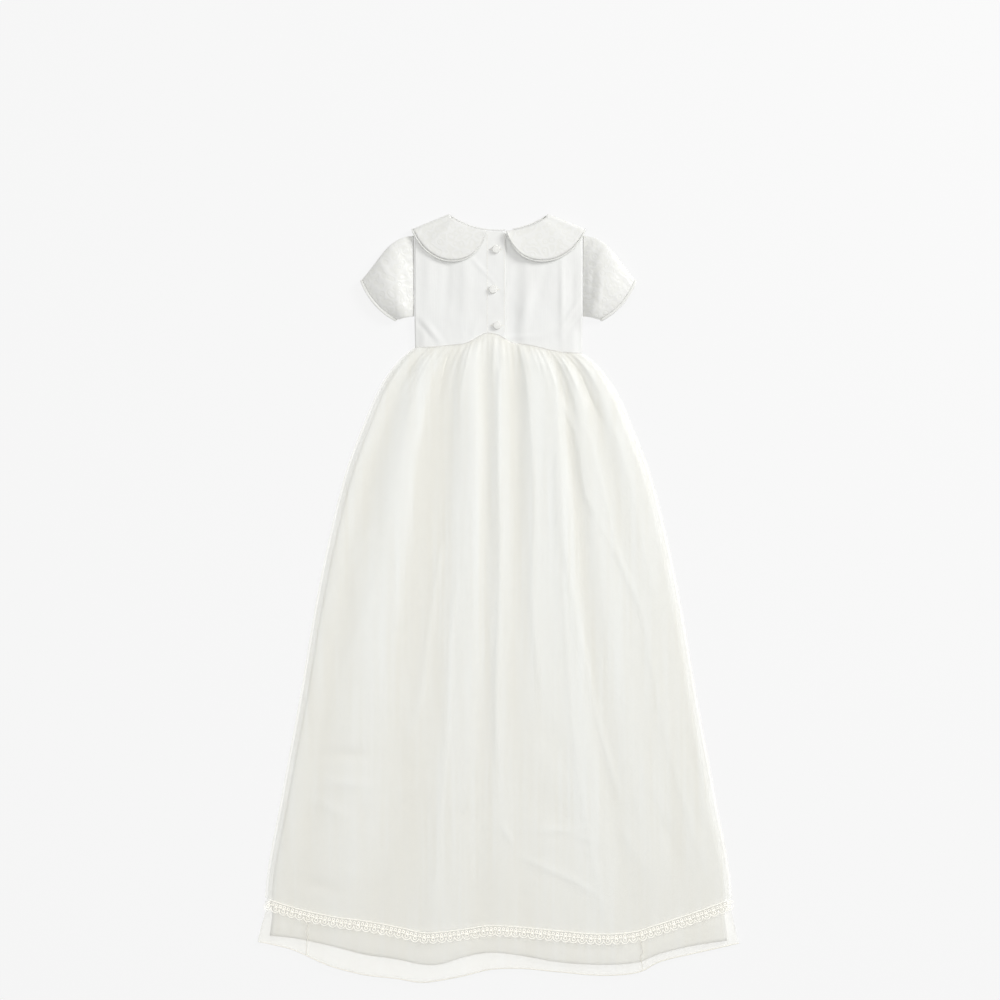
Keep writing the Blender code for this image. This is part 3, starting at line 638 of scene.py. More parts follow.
def cloth(name):
    """The named material, made when it is first asked for."""
    found = bpy.data.materials.get(name)
    if found:
        return found
    colours = bpy.context.scene.gown_colours
    makers = {
        "Ivory satin": lambda: satin_material(name, colours.satin_light, colours.painted_fold_shade, 0.40, folded=True),
        "Ivory satin trim": lambda: satin_material(name, colours.satin_light, colours.satin_shade, 0.45),
        "Bodice organza over satin": lambda: satin_material(name, colours.satin_light, colours.organza, 0.48),
        "Long sheer organza": lambda: organza_material(name, colours.organza, colours.painted_fold_shade, 0.20, 0.19),
        "Overskirt organza": lambda: organza_material(name, colours.organza, colours.painted_fold_shade, 0.20, 0.28),
        "Ivory jacquard": lambda: jacquard_material(name, colours.satin_light, colours.satin_shade),
        "Lace thread": lambda: thread_material(name, colours.lace, 0.8, 0.34),
        "Lace net": lambda: thread_material(name, colours.lace, 0.8, 0.20, alpha=0.10),
        "Sewing thread": lambda: thread_material(name, colours.stitch, 0.6, 0.08),
        "Pearl": lambda: pearl_material(name, colours.satin_light, colours.satin_shade),
    }
    return makers[name]()


# Bodice, sleeves, collar and trims -------------------------------------------------------

BODICE_DENTS = (
    Dent(-84, 386, 88, 90, 15, 0.9),
    Dent(-62, 380, 86, 80, 11, -0.7),
    Dent(-40, 372, 88, 120, 15, 0.8),
    Dent(-20, 392, -50, 46, 5, 0.9),
    Dent(-14, 384, -50, 46, 4, -0.7),
    Dent(-80, 318, -48, 34, 8, 1.1),
    Dent(-90, 324, -48, 30, 8, -0.9),
    Dent(-30, 318, 70, 34, 12, 0.5),
    Dent(15, 390, 80, 30, 12, 0.8),
    Dent(33, 346, 78, 60, 14, 0.9),
    Dent(50, 372, 70, 60, 14, -0.6),
    Dent(76, 362, 90, 84, 7, 1.0),
    Dent(88, 368, 88, 60, 9, -0.7),
    Dent(86, 340, 58, 34, 6, 0.9),
    Dent(92, 330, 52, 30, 5, -0.7),
    Dent(60, 318, 20, 50, 12, 0.5),
    Dent(24, 312, 4, 40, 6, 0.6),
)
SLEEVE_DENTS = (
    Dent(118, 402, 60, 44, 9, 2.0),
    Dent(112, 380, 85, 50, 7, -1.6),
    Dent(121, 366, 88, 46, 6, 1.8),
    Dent(129, 392, 55, 38, 8, -1.5),
    Dent(140, 398, 40, 34, 9, 1.4),
    Dent(146, 382, -40, 34, 7, -1.3),
    Dent(136, 364, -50, 40, 7, 1.3),
    Dent(124, 350, -30, 34, 7, -1.4),
    Dent(112, 348, 30, 26, 6, 1.5),
    Dent(118, 340, 10, 22, 5, -1.0),
    Dent(110, 418, 40, 26, 6, 1.3),
    Dent(122, 420, 20, 24, 6, -1.0),
    Dent(133, 378, 20, 22, 5, 1.0),
)
Station = namedtuple("Station", "fold_x fold_y under_x under_y height")
SLEEVE_STATIONS = (
    Station(101.2, 434.0, 101.2, 337.0, 5.8),
    Station(117.0, 430.5, 106.0, 336.5, 11.0),
    Station(131.0, 421.0, 110.5, 335.5, 15.0),
    Station(143.5, 406.5, 114.5, 334.5, 15.5),
    Station(154.5, 392.0, 118.0, 333.5, 13.0),
    Station(163.2, 381.4, 121.2, 333.2, 9.5),
)
CollarRow = namedtuple("CollarRow", "neck_along outer_along outer_y")
COLLAR_ROWS = (
    CollarRow(1.00, 1.00, 437.0),
    CollarRow(0.94, 0.93, 426.5),
    CollarRow(0.86, 0.82, 415.5),
    CollarRow(0.74, 0.65, 406.5),
    CollarRow(0.57, 0.45, 404.0),
    CollarRow(0.39, 0.27, 408.5),
    CollarRow(0.21, 0.15, 418.0),
    CollarRow(0.05, 0.06, 431.0),
)
COLLAR_START = {"left": -12.6, "right": 6.6}
COLLAR_REACH = {"left": -88.0, "right": 94.5}
COLLAR_END_LIFT = {"left": 0.5, "right": 3.0}
COLLAR_LEVEL, COLLAR_FLOOR, COLLAR_LIFT = 9.8, 1.0, 2.4
BUTTON_PLACES = ((-3.0, 417.0), (-6.6, 369.0), (-1.8, 326.0))
LEFT_LAP_X, RIGHT_LAP_X = 9.0, -14.0
CUFF_WIDTH = 3.0
SIDES = (("left", -1.0), ("right", 1.0))


def neck_y(x, depth):
    share = np.minimum(np.abs(x) / NECK_HALF, 1.0)
    return NECK_TOP_Y - depth * (1.0 - share**NECK_POWER)


def bodice_top(x, depth):
    share = np.clip((np.abs(x) - NECK_HALF) / (BODICE_HALF - NECK_HALF), 0.0, 1.0)
    return np.where(np.abs(x) <= NECK_HALF, neck_y(x, depth), mix(NECK_TOP_Y, SHOULDER_TIP_Y, share))


def front_level(y):
    return mix(1.3, 2.4, ease(y, 315.0, 384.0))


def back_face(x, y):
    """The upper face of the left back panel, as wrinkled as it lies."""
    fall = 2.2 * (1.0 - ease(y, 316.0, 336.0)) * ease(np.abs(x), 88.0, 100.0)
    wrinkles = 1.4 * dent_height(x, y, BODICE_DENTS) + 0.55 * noise_values(x / 17.0, y / 30.0, 71)
    return front_level(y) + 3.5 + 1.5 + wrinkles - fall


def lapped_face(x, y):
    return back_face(x, y) - 1.9 * (1.0 - ease(x, 17.0, 34.0))


# How far the bodice runs in under the gathered skirt
TUCKED = 0.6


def bodice_panel(name, low_x, high_x, depth, face, seam, wall, material):
    columns = int((high_x - low_x) / 1.9)
    x_line = np.linspace(low_x, high_x, columns) / BODICE_HALF
    share, up = np.meshgrid(x_line, np.linspace(1.0, 0.0, 84))
    x = share * mix(WAIST_HALF, BODICE_HALF, ease(up, 0.0, 0.25))
    y = mix(seam(share) - TUCKED, bodice_top(share * BODICE_HALF, depth), up)
    return shell(name, x, y, face(x, y), wall, cloth(material))


def collar_plan(word, t, across, drop):
    """Where a collar half lies: t is 0 at the shoulder and 1 at the centre."""
    places = np.linspace(0.0, 1.0, len(COLLAR_ROWS))
    shoulder_x = math.copysign(NECK_HALF, COLLAR_REACH[word])
    neck_x = mix(COLLAR_START[word], shoulder_x, smooth(places, [r.neck_along for r in COLLAR_ROWS], t))
    outer_x = COLLAR_START[word] + COLLAR_REACH[word] * smooth(places, [r.outer_along for r in COLLAR_ROWS], t)
    outer_y = smooth(places, [r.outer_y for r in COLLAR_ROWS], t) - drop
    neck = neck_y(neck_x, BACK_NECK_DEPTH + drop)
    return mix(neck_x, outer_x, across), mix(neck, outer_y, across)


def collar_grid(word):
    """Points across a collar half at stations over the back, round the shoulder, to the front."""
    across = np.linspace(0.0, 1.0, 22)
    stations = []
    for t in np.linspace(1.0, 0.0, 56):
        x, y = collar_plan(word, t, across, 0.0)
        arch = np.sin(math.pi * (0.15 + 0.7 * across)) * float(ease(t, 0.0, 0.28))
        end = COLLAR_END_LIFT[word] * float(ease(t, 0.43, 1.0)) * across
        rim = 0.5 * np.exp(-(((across - 0.93) / 0.04) ** 2))
        wave = 0.35 * noise_values(x / 15.0, y / 15.0, 83) * float(ease(t, 0.0, 0.2))
        stations.append(np.stack([x, y, COLLAR_LEVEL + COLLAR_LIFT * arch + end + rim + wave], -1))
    x, y = collar_plan(word, 0.0, across, 0.0)
    along = Vector((x[-1] - x[0], y[-1] - y[0])).normalized()
    outward = Vector((-along.y, along.x)) * (1.0 if along.x > 0 else -1.0)
    radius = (COLLAR_LEVEL - COLLAR_FLOOR) / 2.0
    for angle in np.radians(np.linspace(12.0, 168.0, 13)):
        reach = 0.6 + radius * math.sin(angle)
        level = COLLAR_FLOOR + radius * (1.0 + math.cos(angle))
        stations.append(np.stack([x + outward.x * reach, y + outward.y * reach, np.full_like(x, level)], -1))
    for t in np.linspace(0.0, 1.0, 40):
        x, y = collar_plan(word, t, across, (FRONT_NECK_DEPTH - BACK_NECK_DEPTH) * t)
        stations.append(np.stack([x, y, np.full_like(x, COLLAR_FLOOR)], -1))
    return np.array(stations)


def tube_mesh(name, route, radius, sides, material):
    """A round cord along a route of points in the gown's millimetres."""
    curve = bpy.data.curves.new(name, "CURVE")
    curve.dimensions = "3D"
    curve.bevel_depth = radius * MM
    curve.bevel_resolution = sides
    curve.use_fill_caps = True
    spline = curve.splines.new("POLY")
    spline.points.add(len(route) - 1)
    for point, co in zip(spline.points, place(route)):
        point.co = (*co, 1.0)
    holder = bpy.data.objects.new(name, curve)
    bpy.context.scene.collection.objects.link(holder)
    return plain_mesh(holder, name, material)


def plain_mesh(holder, name, material):
    """Turns an object with a curve or live modifiers into a plain mesh piece."""
    bpy.context.view_layer.update()
    graph = bpy.context.evaluated_depsgraph_get()
    mesh = bpy.data.meshes.new_from_object(holder.evaluated_get(graph))
    bpy.data.objects.remove(holder, do_unlink=True)
    made = bpy.data.objects.new(name, mesh)
    bpy.context.scene.collection.objects.link(made)
    mesh.materials.clear()
    mesh.materials.append(material)
    mesh.shade_smooth()
    return made


def collar_half(word):
    grid = collar_grid(word)
    rows, columns = grid.shape[:2]
    flip = word == "left"
    leaf = mesh_from(f"collar_{word}_cloth", grid.reshape(-1, 3), grid_quads(rows, columns, flip=not flip), cloth("Ivory jacquard"))
    thickness = leaf.modifiers.new("Cloth wall", "SOLIDIFY")
    thickness.thickness = 0.9 * MM
    thickness.offset = 0.0
    edge = grid[:, -1]
    tangents = np.gradient(edge, axis=0)
    tangents /= np.linalg.norm(tangents, axis=1)[:, None]
    across = edge - grid[:, -2]
    across -= tangents * np.sum(across * tangents, axis=1)[:, None]
    across /= np.linalg.norm(across, axis=1)[:, None]
    piping = tube_mesh(f"collar_{word}_cord", edge + across * 1.2, 0.95, 3, cloth("Ivory satin trim"))
    return leaf, piping


def sleeve_rings(side, wall, stations=54, around=96):
    """Rings of points round a puffed sleeve, with its creases on the upper side."""
    rings = []
    columns = [[getattr(s, name) for s in SLEEVE_STATIONS] for name in Station._fields]
    places = np.linspace(0.0, 1.0, len(SLEEVE_STATIONS))
    last = SLEEVE_STATIONS[-1]
    cuff = Vector((side * (last.fold_x - last.under_x), last.fold_y - last.under_y))
    outward = Vector((cuff.y * side, -cuff.x * side)).normalized()
    angle = np.linspace(0.0, 2.0 * math.pi, around, endpoint=False)
    for at in np.linspace(0.0, 1.0, stations):
        fold_x, fold_y, under_x, under_y, height = (float(smooth(places, c, at)) for c in columns)
        fold, under = Vector((side * fold_x, fold_y)), Vector((side * under_x, under_y))
        middle, half = (fold + under) / 2.0, (fold - under) / 2.0
        half *= (half.length - wall) / half.length
        bulge = 6.0 * at * at
        along, up = np.cos(angle), np.sin(angle)
        x = middle.x + half.x * along + outward.x * bulge * (1.0 - along**2)
        y = middle.y + half.y * along + outward.y * bulge * (1.0 - along**2)
        z = 0.25 + height / 2.0 + (height / 2.0 - wall) * up
        creases = dent_height(side * x, y, SLEEVE_DENTS)
        pleats = 1.1 * np.sin(along * 34.0 + 2.0 * np.sin(along * 9.0)) * (1.0 - float(ease(at, 0.05, 0.4)))
        pleats = pleats + 0.8 * np.sin(along * 27.0 + 1.3) * float(ease(at, 0.72, 1.0))
        fine = 0.5 * noise_values(x / 9.0, y / 9.0, 91)
        top = ease(up, 0.05, 0.6) * float(ease(at, 0.0, 0.08)) * (1.0 - 0.7 * float(ease(at, 0.9, 1.0)))
        rings.append(np.stack([x, y, z + top * (0.28 * creases + 0.26 * pleats + 0.5 * fine)], -1))
    return rings, outward


def tube_shell(name, outer, inner, material):
    """A tube wall between two stacks of rings, open at both ends."""
    count, around = len(outer), len(outer[0])
    points = np.concatenate([np.concatenate(outer), np.concatenate(inner)])
    inside = count * around
    faces = grid_quads(count, around, closed=True) + grid_quads(count, around, first=inside, closed=True, flip=True)
    for end, turned in ((0, True), ((count - 1) * around, False)):
        for i in range(around):
            a, b = end + i, end + (i + 1) % around
            faces.append((a, b, b + inside, a + inside)[:: -1 if turned else 1])
    made = mesh_from(name, points, faces, material)
    signed = sum(
        made.data.vertices[p.vertices[0]].co.dot(p.normal) * p.area for p in made.data.polygons
    )
    if signed < 0.0:
        made.data.flip_normals()
    return made


def sleeve(word, side):
    outer, outward = sleeve_rings(side, 0.0)
    inner, _ = sleeve_rings(side, 0.8)
    body = tube_shell(f"sleeve_{word}_cloth", outer, inner, cloth("Ivory jacquard"))
    step = np.array([outward.x, outward.y, 0.0])
    centre = outer[-1].mean(axis=0)

    away = outer[-1] - centre
    length = np.linalg.norm(away, axis=1)[:, None]

    def band(inside):
        rings = []
        for reach in np.linspace(0.0, 1.0, 7):
            swell = 0.4 * math.sin(math.pi * reach)
            ring = centre + away * (length + (-1.2 if inside else swell)) / length + step * (0.3 + CUFF_WIDTH * reach)
            ring[:, 2] = np.maximum(ring[:, 2], 1.0 if inside else 0.05)
            rings.append(ring)
        return rings

    cuff = tube_shell(f"cuff_{word}_band", band(False), band(True), cloth("Ivory satin trim"))
    return body, cuff, outer


# Repeats made with Geometry Nodes -------------------------------------------------------


def path_object(name, route):
    mesh = bpy.data.meshes.new(name)
    points = place(route)
    mesh.from_pydata(points.tolist(), [(i, i + 1) for i in range(len(points) - 1)], [])
    made = bpy.data.objects.new(name, mesh)
    bpy.context.scene.collection.objects.link(made)
    return made


def repeat_tree(name, build_motif, inputs):
    """A tree that repeats a motif along the object's edges, turned to follow them."""
    tree = bpy.data.node_groups.new(name, "GeometryNodeTree")
    tree.interface.new_socket("Geometry", in_out="INPUT", socket_type="NodeSocketGeometry")
    for label, kind, value in inputs:
        socket = tree.interface.new_socket(label, in_out="INPUT", socket_type=kind)
        if value is not None:
            socket.default_value = value
    tree.interface.new_socket("Geometry", in_out="OUTPUT", socket_type="NodeSocketGeometry")
    given = add_node(tree, "NodeGroupInput").outputs
    curve = add_node(tree, "GeometryNodeMeshToCurve", Mesh=given["Geometry"]).outputs[0]
    spaced = add_node(tree, "GeometryNodeCurveToPoints", {"mode": "LENGTH"}, Curve=curve, Length=given["Pitch"])
    turned = add_node(
        tree, "FunctionNodeAlignRotationToVector", {"axis": "X", "pivot_axis": "Z"}, Vector=spaced.outputs["Tangent"]
    ).outputs[0]
    motif = build_motif(tree, given)
    copies = add_node(
        tree, "GeometryNodeInstanceOnPoints", Points=spaced.outputs["Points"], Instance=motif, Rotation=turned
    ).outputs[0]
    real = add_node(tree, "GeometryNodeRealizeInstances", Geometry=copies).outputs[0]
    done = add_node(tree, "GeometryNodeSetMaterial", Geometry=real, Material=given["Material"]).outputs[0]
    add_node(tree, "NodeGroupOutput", Geometry=done)
    return tree


def run_tree(name, route, tree, values, material):
    """Runs a tree on a route and keeps the result as a plain mesh."""
    holder = path_object(name, route)
    modifier = holder.modifiers.new("Repeat", "NODES")
    modifier.node_group = tree
    for item in tree.interface.items_tree:
        if item.in_out == "INPUT" and item.name in values:
            modifier[item.identifier] = values[item.name]
    return plain_mesh(holder, name, material)


def scallop_motif(tree, given):
    """One scallop: an outer arc that hangs down, a ring inside it, and two small rings above it."""
    thread = add_node(tree, "GeometryNodeCurvePrimitiveCircle", Resolution=4, Radius=given["Thread"]).outputs[0]
    arc = add_node(
        tree,
        "GeometryNodeCurveArc",
        Resolution=11,
        Radius=given["Scallop"],
        Start_Angle=math.radians(176.0),
        Sweep_Angle=math.radians(188.0),
    ).outputs[0]
    ring = add_node(tree, "GeometryNodeCurvePrimitiveCircle", Resolution=9, Radius=given["Ring"]).outputs[0]
    petal = add_node(tree, "GeometryNodeCurvePrimitiveCircle", Resolution=7, Radius=given["Petal"]).outputs[0]
    low = add_node(tree, "GeometryNodeTransform", Geometry=arc, Translation=(0.0, -7.6 * MM, 0.0)).outputs[0]
    mid = add_node(tree, "GeometryNodeTransform", Geometry=ring, Translation=(0.0, -7.9 * MM, 0.0)).outputs[0]
    high = add_node(tree, "GeometryNodeTransform", Geometry=petal, Translation=(5.0 * MM, -3.6 * MM, 0.0)).outputs[0]
    high2 = add_node(tree, "GeometryNodeTransform", Geometry=petal, Translation=(0.0, -3.2 * MM, 0.0)).outputs[0]
    joined = tree.nodes.new("GeometryNodeJoinGeometry")
    for socket in (low, mid, high, high2):
        tree.links.new(socket, joined.inputs[0])
    return add_node(tree, "GeometryNodeCurveToMesh", Curve=joined.outputs[0], Profile_Curve=thread).outputs[0]


def stitch_motif(tree, given):
    """One stitch: a short rounded stroke of thread along the path."""
    stroke = add_node(
        tree, "GeometryNodeMeshIcoSphere", Radius=given["Thread"], Subdivisions=1
    ).outputs[0]
    return add_node(tree, "GeometryNodeTransform", Geometry=stroke, Scale=(5.0, 1.0, 0.8)).outputs[0]


def stitch_row(name, route, pitch, thread, material="Sewing thread"):
    tree = bpy.data.node_groups.get("Running stitch") or repeat_tree(
        "Running stitch",
        stitch_motif,
        (
            ("Pitch", "NodeSocketFloat", 0.003),
            ("Thread", "NodeSocketFloat", 0.0002),
            ("Material", "NodeSocketMaterial", None),
        ),
    )
    values = {"Pitch": pitch * MM, "Thread": thread * MM, "Material": cloth(material)}
    return run_tree(name, route, tree, values, cloth(material))


def lace_edging(name, route_x, route_y, route_z):
    """Scalloped lace: thread scallops, a net behind them and two header cords."""
    tree = bpy.data.node_groups.get("Lace scallops") or repeat_tree(
        "Lace scallops",
        scallop_motif,
        (
            ("Pitch", "NodeSocketFloat", 0.010),
            ("Thread", "NodeSocketFloat", 0.0005),
            ("Scallop", "NodeSocketFloat", 0.0047),
            ("Ring", "NodeSocketFloat", 0.0019),
            ("Petal", "NodeSocketFloat", 0.0016),
            ("Material", "NodeSocketMaterial", None),
        ),
    )
    route = np.stack([route_x, route_y, route_z], -1)
    values = {
        "Pitch": 10.0 * MM, "Thread": 0.42 * MM, "Scallop": 4.8 * MM,
        "Ring": 1.9 * MM, "Petal": 1.5 * MM, "Material": cloth("Lace thread"),
    }
    scallops = run_tree(f"{name}_scallops", route, tree, values, cloth("Lace thread"))
    header = tube_mesh(f"{name}_header", route + np.array([0.0, 0.2, 0.15]), 0.45, 1, cloth("Lace thread"))
    lower = tube_mesh(f"{name}_lower_cord", route + np.array([0.0, -5.4, 0.0]), 0.3, 1, cloth("Lace thread"))
    share = np.linspace(0.0, 1.0, 5)[:, None]
    depth = 8.6 * share
    net = shell(
        f"{name}_net",
        np.repeat(route_x[None, :], 5, 0),
        route_y[None, :] - depth,
        np.repeat(route_z[None, :], 5, 0) - 0.25,
        0.25,
        cloth("Lace net"),
    )
    return scallops, header, lower, net


# Pieces -----------------------------------------------------------------------------------

SKIRT_WALL = {"satin": 0.9, "long": 0.5, "over": 0.5}
SKIRT_END = {"satin": 3, "long": 4, "over": 1}
BACK_STEP = {"satin": 4.0, "long": 4.0, "over": 3.0}
FRONT_STEP = 8.0
SKIRT_CLOTH = {"satin": "Ivory satin", "long": "Long sheer organza", "over": "Overskirt organza"}
SKIRT_NODES = {"satin": "satin_skirt", "long": "organza_underlayer", "over": "overskirt"}
SKIRT_SLOT = {"satin": "satin", "long": "organza", "over": "organza"}


def make_skirt_layer(layer):
    made = {}
    for face, surface, step in (("front", front_layer, FRONT_STEP), ("back", back_layer, BACK_STEP[layer])):
        node = f"{SKIRT_NODES[layer]}_{face}"
        wall = SKIRT_WALL[layer]
        x, y, z, depth = surface(layer, step, wall, SKIRT_END[layer])
        piece = shell(f"{node}_cloth", x, y, z, wall, cloth(SKIRT_CLOTH[layer]), depth)
        finish(piece, SKIRT_SLOT[layer], node)
        made[face] = (piece, x, y, z)
    return made


LACE_END = 4.0


def make_lace(layers):
    """Lace on the overskirt's hem, back and front; returns its pieces by face."""
    made = {}
    for face, (_, x, y, z) in layers.items():
        lift = 0.35 if face == "back" else 0.2
        inside = np.abs(x[-1]) < x[-1].max() - LACE_END
        pieces = lace_edging(f"lace_{face}", x[-1][inside], y[-1][inside], z[-1][inside] + lift)
        for number, piece in enumerate(pieces):
            finish(piece, "lace", *([f"lace_{face}"] if number == 0 else []))
        made[face] = pieces
    return made


def make_bodice():
    front = bodice_panel(
        "bodice_front_cloth", -BODICE_HALF, BODICE_HALF, FRONT_NECK_DEPTH,
        lambda x, y: front_level(y) + 1.4, front_seam_y, 1.2, "Bodice organza over satin",
    )
    right = bodice_panel(
        "bodice_right_cloth", RIGHT_LAP_X, BODICE_HALF, BACK_NECK_DEPTH,
        lapped_face, seam_y, 1.2, "Bodice organza over satin",
    )
    left = bodice_panel(
        "bodice_left_cloth", -BODICE_HALF, LEFT_LAP_X, BACK_NECK_DEPTH,
        back_face, seam_y, 1.2, "Bodice organza over satin",
    )
    finish(front, "satin", "bodice_front")
    finish(right, "satin", "bodice_back_right")
    finish(left, "satin", "bodice_back_left")


def make_sleeves():
    for word, side in SIDES:
        body, cuff, rings = sleeve(word, side)
        finish(body, "jacquard", f"sleeve_{word}")
        finish(cuff, "satin_trim", f"cuff_binding_{word}")


def neck_route():
    """The binding's way: the left back neckline, the front's, then the right back's."""
    reach = 1.7
    left = np.linspace(LEFT_LAP_X - 1.2, -NECK_HALF + 1.0, 44)
    front = np.linspace(-NECK_HALF + 1.0, NECK_HALF - 1.0, 60)
    right = np.linspace(NECK_HALF - 1.0, 17.0, 34)
    route = []
    for xs, depth, above in ((left, BACK_NECK_DEPTH, 3.5 + 0.9), (front, FRONT_NECK_DEPTH, 0.9), (right, BACK_NECK_DEPTH, 3.5 + 0.9)):
        ys = neck_y(xs, depth) + reach
        route.append(np.stack([xs, ys, front_level(ys) + above], -1))
    for end, side in ((0, -1.0), (1, 1.0)):
        turn = np.array([[side * (NECK_HALF - 0.4), NECK_TOP_Y + reach + 0.2, 2.4 + level] for level in (3.6, 2.6, 1.7)])
        route.insert(1 if end == 0 else 3, turn if end == 0 else turn[::-1])
    return np.concatenate(route)


def make_collar():
    for word, _ in SIDES:
        leaf, piping = collar_half(word)
        finish(leaf, "jacquard", f"collar_{word}")
        finish(piping, "satin_trim", f"collar_piping_{word}")
    binding = tube_mesh("neck_binding_cord", neck_route(), 0.75, 2, cloth("Ivory satin trim"))
    finish(binding, "satin_trim", "neck_binding")


BUTTON_PROFILE = (
    (0.0, 3.1), (1.4, 3.1), (2.6, 2.9), (3.3, 2.65), (3.6, 2.75), (4.1, 2.7), (4.6, 2.2),
    (4.95, 1.4), (5.0, 0.9), (4.8, 0.4), (4.3, 0.1), (3.4, 0.0), (0.0, 0.0),
)


def make_buttons():
    around = 40
    for number, (x, y) in enumerate(BUTTON_PLACES, 1):
        base = float(back_face(np.array([x]), np.array([y]))[0]) + 0.5
        angle = np.linspace(0.0, 2.0 * math.pi, around, endpoint=False)
        rings = [
            np.stack([x + r * np.cos(angle), y + r * np.sin(angle), np.full(around, base + h)], -1)
            for r, h in BUTTON_PROFILE[1:-1]
        ]
        points = np.concatenate(rings + [[[x, y, base + BUTTON_PROFILE[0][1]]], [[x, y, base]]])
        faces = grid_quads(len(rings), around, closed=True, flip=True)
        top, low = len(points) - 2, len(points) - 1
        end = (len(rings) - 1) * around
        for i in range(around):
            j = (i + 1) % around
            faces += [(i, j, top), (end + j, end + i, low)]
        piece = mesh_from(f"button_{number}_pearl", points, faces, cloth("Pearl"))
        finish(piece, "button", f"button_{number}")


def make_stitches():
    """Placket and buttonhole stitching in the gown's own thread."""
    rise = 0.15
    edge_y = np.linspace(320.0, 434.0, 60)
    for name, x in (("placket_edge_stitches", LEFT_LAP_X - 2.0), ("placket_fold_stitches", -13.5)):
        xs = np.full_like(edge_y, x)
        route = np.stack([xs, edge_y, back_face(xs, edge_y) + rise], -1)
        finish(stitch_row(name, route[::-1], 3.0, 0.26), "satin_trim")
    for number, (x, y) in enumerate(BUTTON_PLACES, 1):
        xs = np.linspace(x - 7.0, x + 7.0, 8)
        ys = np.full_like(xs, y)
        route = np.stack([xs, ys, back_face(xs, ys) + rise], -1)
        finish(stitch_row(f"buttonhole_{number}_stitches", route, 0.9, 0.32), "satin_trim")


# Floor, light and camera --------------------------------------------------------------------

CENTRE_X, CENTRE_Y, FRAME_WIDTH = 1.8, 117.0, 1200.0


def area_light(name, where, aim, size, power):
    light = bpy.data.lights.new(name, "AREA")
    light.shape, light.size, light.energy = "DISK", size, power
    made = bpy.data.objects.new(name, light)
    made.location = where
    made.rotation_euler = (Vector(aim) - Vector(where)).to_track_quat("-Z", "Y").to_euler()
    bpy.context.scene.collection.objects.link(made)


def make_stage():
    """A pale studio floor under soft light, seen from straight above."""
    scene = bpy.context.scene
    scene.view_settings.view_transform = "Standard"
    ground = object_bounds()[0][2]
    centre = Vector(place([[CENTRE_X, CENTRE_Y, 0.0]])[0])
    look = scene.gown_stage
    floor_material, tree = new_material("Painted studio floor")
    shader = add_node(tree, "ShaderNodeBsdfPrincipled")
    shader.inputs["Base Color"].default_value = tuple(look.floor)
    shader.inputs["Roughness"].default_value = 0.9
    shader.inputs["Emission Color"].default_value = (1.0, 1.0, 1.0, 1.0)
    shader.inputs["Emission Strength"].default_value = look.floor_glow
    output(tree, shader.outputs[0])
    mesh = bpy.data.meshes.new("floor")
    half = 20.0
    mesh.from_pydata([(-half, -half, ground), (half, -half, ground), (half, half, ground), (-half, half, ground)], [], [(0, 1, 2, 3)])
    mesh.materials.append(floor_material)
    floor = bpy.data.objects.new("floor", mesh)
    scene.collection.objects.link(floor)
    floor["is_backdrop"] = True
    world = bpy.data.worlds.new("Studio")
    world.use_nodes = True
    background = world.node_tree.nodes["Background"]
    background.inputs["Color"].default_value = (1.0, 1.0, 1.0, 1.0)
    background.inputs["Strength"].default_value = look.surround
    scene.world = world
    aim = (centre.x, centre.y, ground)
    area_light("Key", (centre.x + 2.2, centre.y + 1.5, ground + 1.5), aim, 1.2, look.key)
    area_light("Overhead softbox", (centre.x - 0.3, centre.y + 0.2, ground + 2.6), aim, 2.4, look.overhead)
    camera = bpy.data.cameras.new("Camera")
    camera.lens, camera.sensor_width = 100.0, 36.0
    made = bpy.data.objects.new("Camera", camera)
    made.location = (centre.x, centre.y, ground + FRAME_WIDTH * MM * camera.lens / camera.sensor_width)
    scene.collection.objects.link(made)
    scene.camera = made


# Add-on --------------------------------------------------------------------------------------


def colour(name, description, hex_colour):
    return bpy.props.FloatVectorProperty(
        name=name, description=description, subtype="COLOR", size=4, min=0.0, max=1.0, default=linear(hex_colour)
    )


class GownColours(bpy.types.PropertyGroup):
    satin_light: colour("Satin", "Ivory of the satin where it takes the light", "F5F5F2")
    satin_shade: colour("Satin shade", "Ivory of the satin in its clouded stretches", "F2F2EC")
    # Painted shade: the darker colour that the skirt takes in the troughs of its folds
    painted_fold_shade: colour("Fold shade", "Warm ivory deep in the skirt's folds", "F4F3ED")
    organza: colour("Organza", "Tint of the sheer layers", "FAFBF9")
    lace: colour("Lace", "Cotton of the lace edging", "F8F6EF")
    stitch: colour("Stitch", "Sewing thread", "F2EFE5")


class GownStage(bpy.types.PropertyGroup):
    floor: colour("Floor", "Painted floor", "595959")
    floor_glow: bpy.props.FloatProperty(name="Floor glow", description="How far the floor is lifted towards white", default=0.83, min=0.0)
    surround: bpy.props.FloatProperty(name="Surround", description="Strength of the white room light", default=0.38, min=0.0)
    key: bpy.props.FloatProperty(name="Key light", description="Low light from the upper right", default=46.0, min=0.0, unit="POWER")
    overhead: bpy.props.FloatProperty(name="Overhead light", description="Broad light from above", default=22.0, min=0.0, unit="POWER")


SHEER_SEAMS_X = (-229.0, 172.0)
HEM_ROLL = 0.4


def make_sheer_edges(layers):
    """The rolled hem round the long sheer layer, and its two upright seams."""
    for face, (_, x, y, z) in layers.items():
        route = np.stack([x[-1], y[-1] + HEM_ROLL, z[-1] + 0.1], -1)
        roll = tube_mesh(f"sheer_hem_roll_{face}", route, HEM_ROLL, 1, cloth("Sewing thread"))
        finish(roll, "organza")
    _, x, y, z = layers["back"]
    rows = range(len(x) - 20, len(x))
    for number, seam_x in enumerate(SHEER_SEAMS_X, 1):
        near = [int(np.argmin(np.abs(x[r] - seam_x))) for r in rows]
        route = [(x[r][c], y[r][c], z[r][c] + 0.1) for r, c in zip(rows, near)]
        finish(tube_mesh(f"sheer_seam_{number}", route, 0.35, 1, cloth("Sewing thread")), "organza")


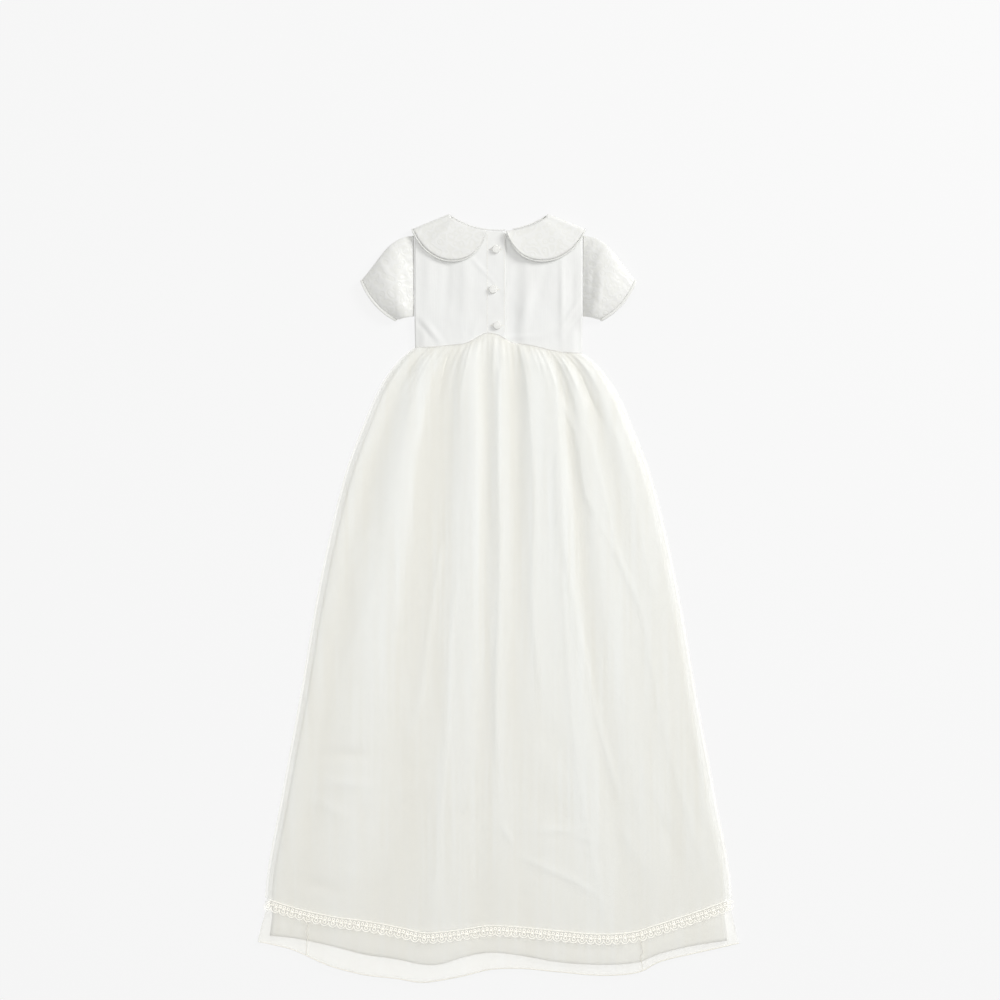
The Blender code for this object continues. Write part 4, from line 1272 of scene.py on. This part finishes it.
class GOWN_OT_satin_skirt(bpy.types.Operator):
    """Makes the satin breadths of the skirt"""

    bl_idname = "gown.satin_skirt"
    bl_label = "Satin skirt"

    def execute(self, context):
        made = make_skirt_layer("satin")
        return {"FINISHED"}


class GOWN_OT_organza_skirt(bpy.types.Operator):
    """Makes the long sheer layer, the overskirt and the lace on its hem"""

    bl_idname = "gown.organza_skirt"
    bl_label = "Organza skirt and lace"

    def execute(self, context):
        sheer = make_skirt_layer("long")
        over = make_skirt_layer("over")
        lace = make_lace(over)
        make_sheer_edges(sheer)
        return {"FINISHED"}


class GOWN_OT_bodice(bpy.types.Operator):
    """Makes the three bodice panels"""

    bl_idname = "gown.bodice"
    bl_label = "Bodice"

    def execute(self, context):
        make_bodice()
        return {"FINISHED"}


class GOWN_OT_sleeves(bpy.types.Operator):
    """Makes the puffed sleeves and their cuff bands"""

    bl_idname = "gown.sleeves"
    bl_label = "Sleeves"

    def execute(self, context):
        make_sleeves()
        return {"FINISHED"}


class GOWN_OT_collar(bpy.types.Operator):
    """Makes both collar halves, their piping and the neck binding"""

    bl_idname = "gown.collar"
    bl_label = "Collar"

    def execute(self, context):
        make_collar()
        return {"FINISHED"}


class GOWN_OT_buttons(bpy.types.Operator):
    """Makes the three pearl buttons"""

    bl_idname = "gown.buttons"
    bl_label = "Buttons"

    def execute(self, context):
        make_buttons()
        return {"FINISHED"}


class GOWN_OT_stitches(bpy.types.Operator):
    """Sews the placket and buttonhole stitches"""

    bl_idname = "gown.stitches"
    bl_label = "Stitches"

    def execute(self, context):
        make_stitches()
        return {"FINISHED"}


class GOWN_OT_stage(bpy.types.Operator):
    """Sets the floor, the lights and the camera"""

    bl_idname = "gown.stage"
    bl_label = "Stage"

    def execute(self, context):
        make_stage()
        return {"FINISHED"}


OPERATORS = (
    GOWN_OT_satin_skirt, GOWN_OT_organza_skirt, GOWN_OT_bodice, GOWN_OT_sleeves,
    GOWN_OT_collar, GOWN_OT_buttons, GOWN_OT_stitches, GOWN_OT_stage,
)


class GOWN_PT_panel(bpy.types.Panel):
    bl_label = "Christening gown"
    bl_idname = "GOWN_PT_panel"
    bl_space_type = "VIEW_3D"
    bl_region_type = "UI"
    bl_category = "Gown"

    def draw(self, context):
        for operator in OPERATORS:
            self.layout.operator(operator.bl_idname)
        for group in (context.scene.gown_colours, context.scene.gown_stage):
            for name in group.__annotations__:
                self.layout.prop(group, name)


CLASSES = (GownColours, GownStage, *OPERATORS, GOWN_PT_panel)


def register():
    for made in CLASSES:
        bpy.utils.register_class(made)
    bpy.types.Scene.gown_colours = bpy.props.PointerProperty(type=GownColours)
    bpy.types.Scene.gown_stage = bpy.props.PointerProperty(type=GownStage)


def unregister():
    del bpy.types.Scene.gown_stage
    del bpy.types.Scene.gown_colours
    for made in reversed(CLASSES):
        bpy.utils.unregister_class(made)


def main():
    register()
    for operator in OPERATORS:
        getattr(bpy.ops.gown, operator.bl_idname.split(".")[1])()
    {"cad": CAD_BOX, "visual": [list(corner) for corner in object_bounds()]}


if __name__ == "__main__":
    main()
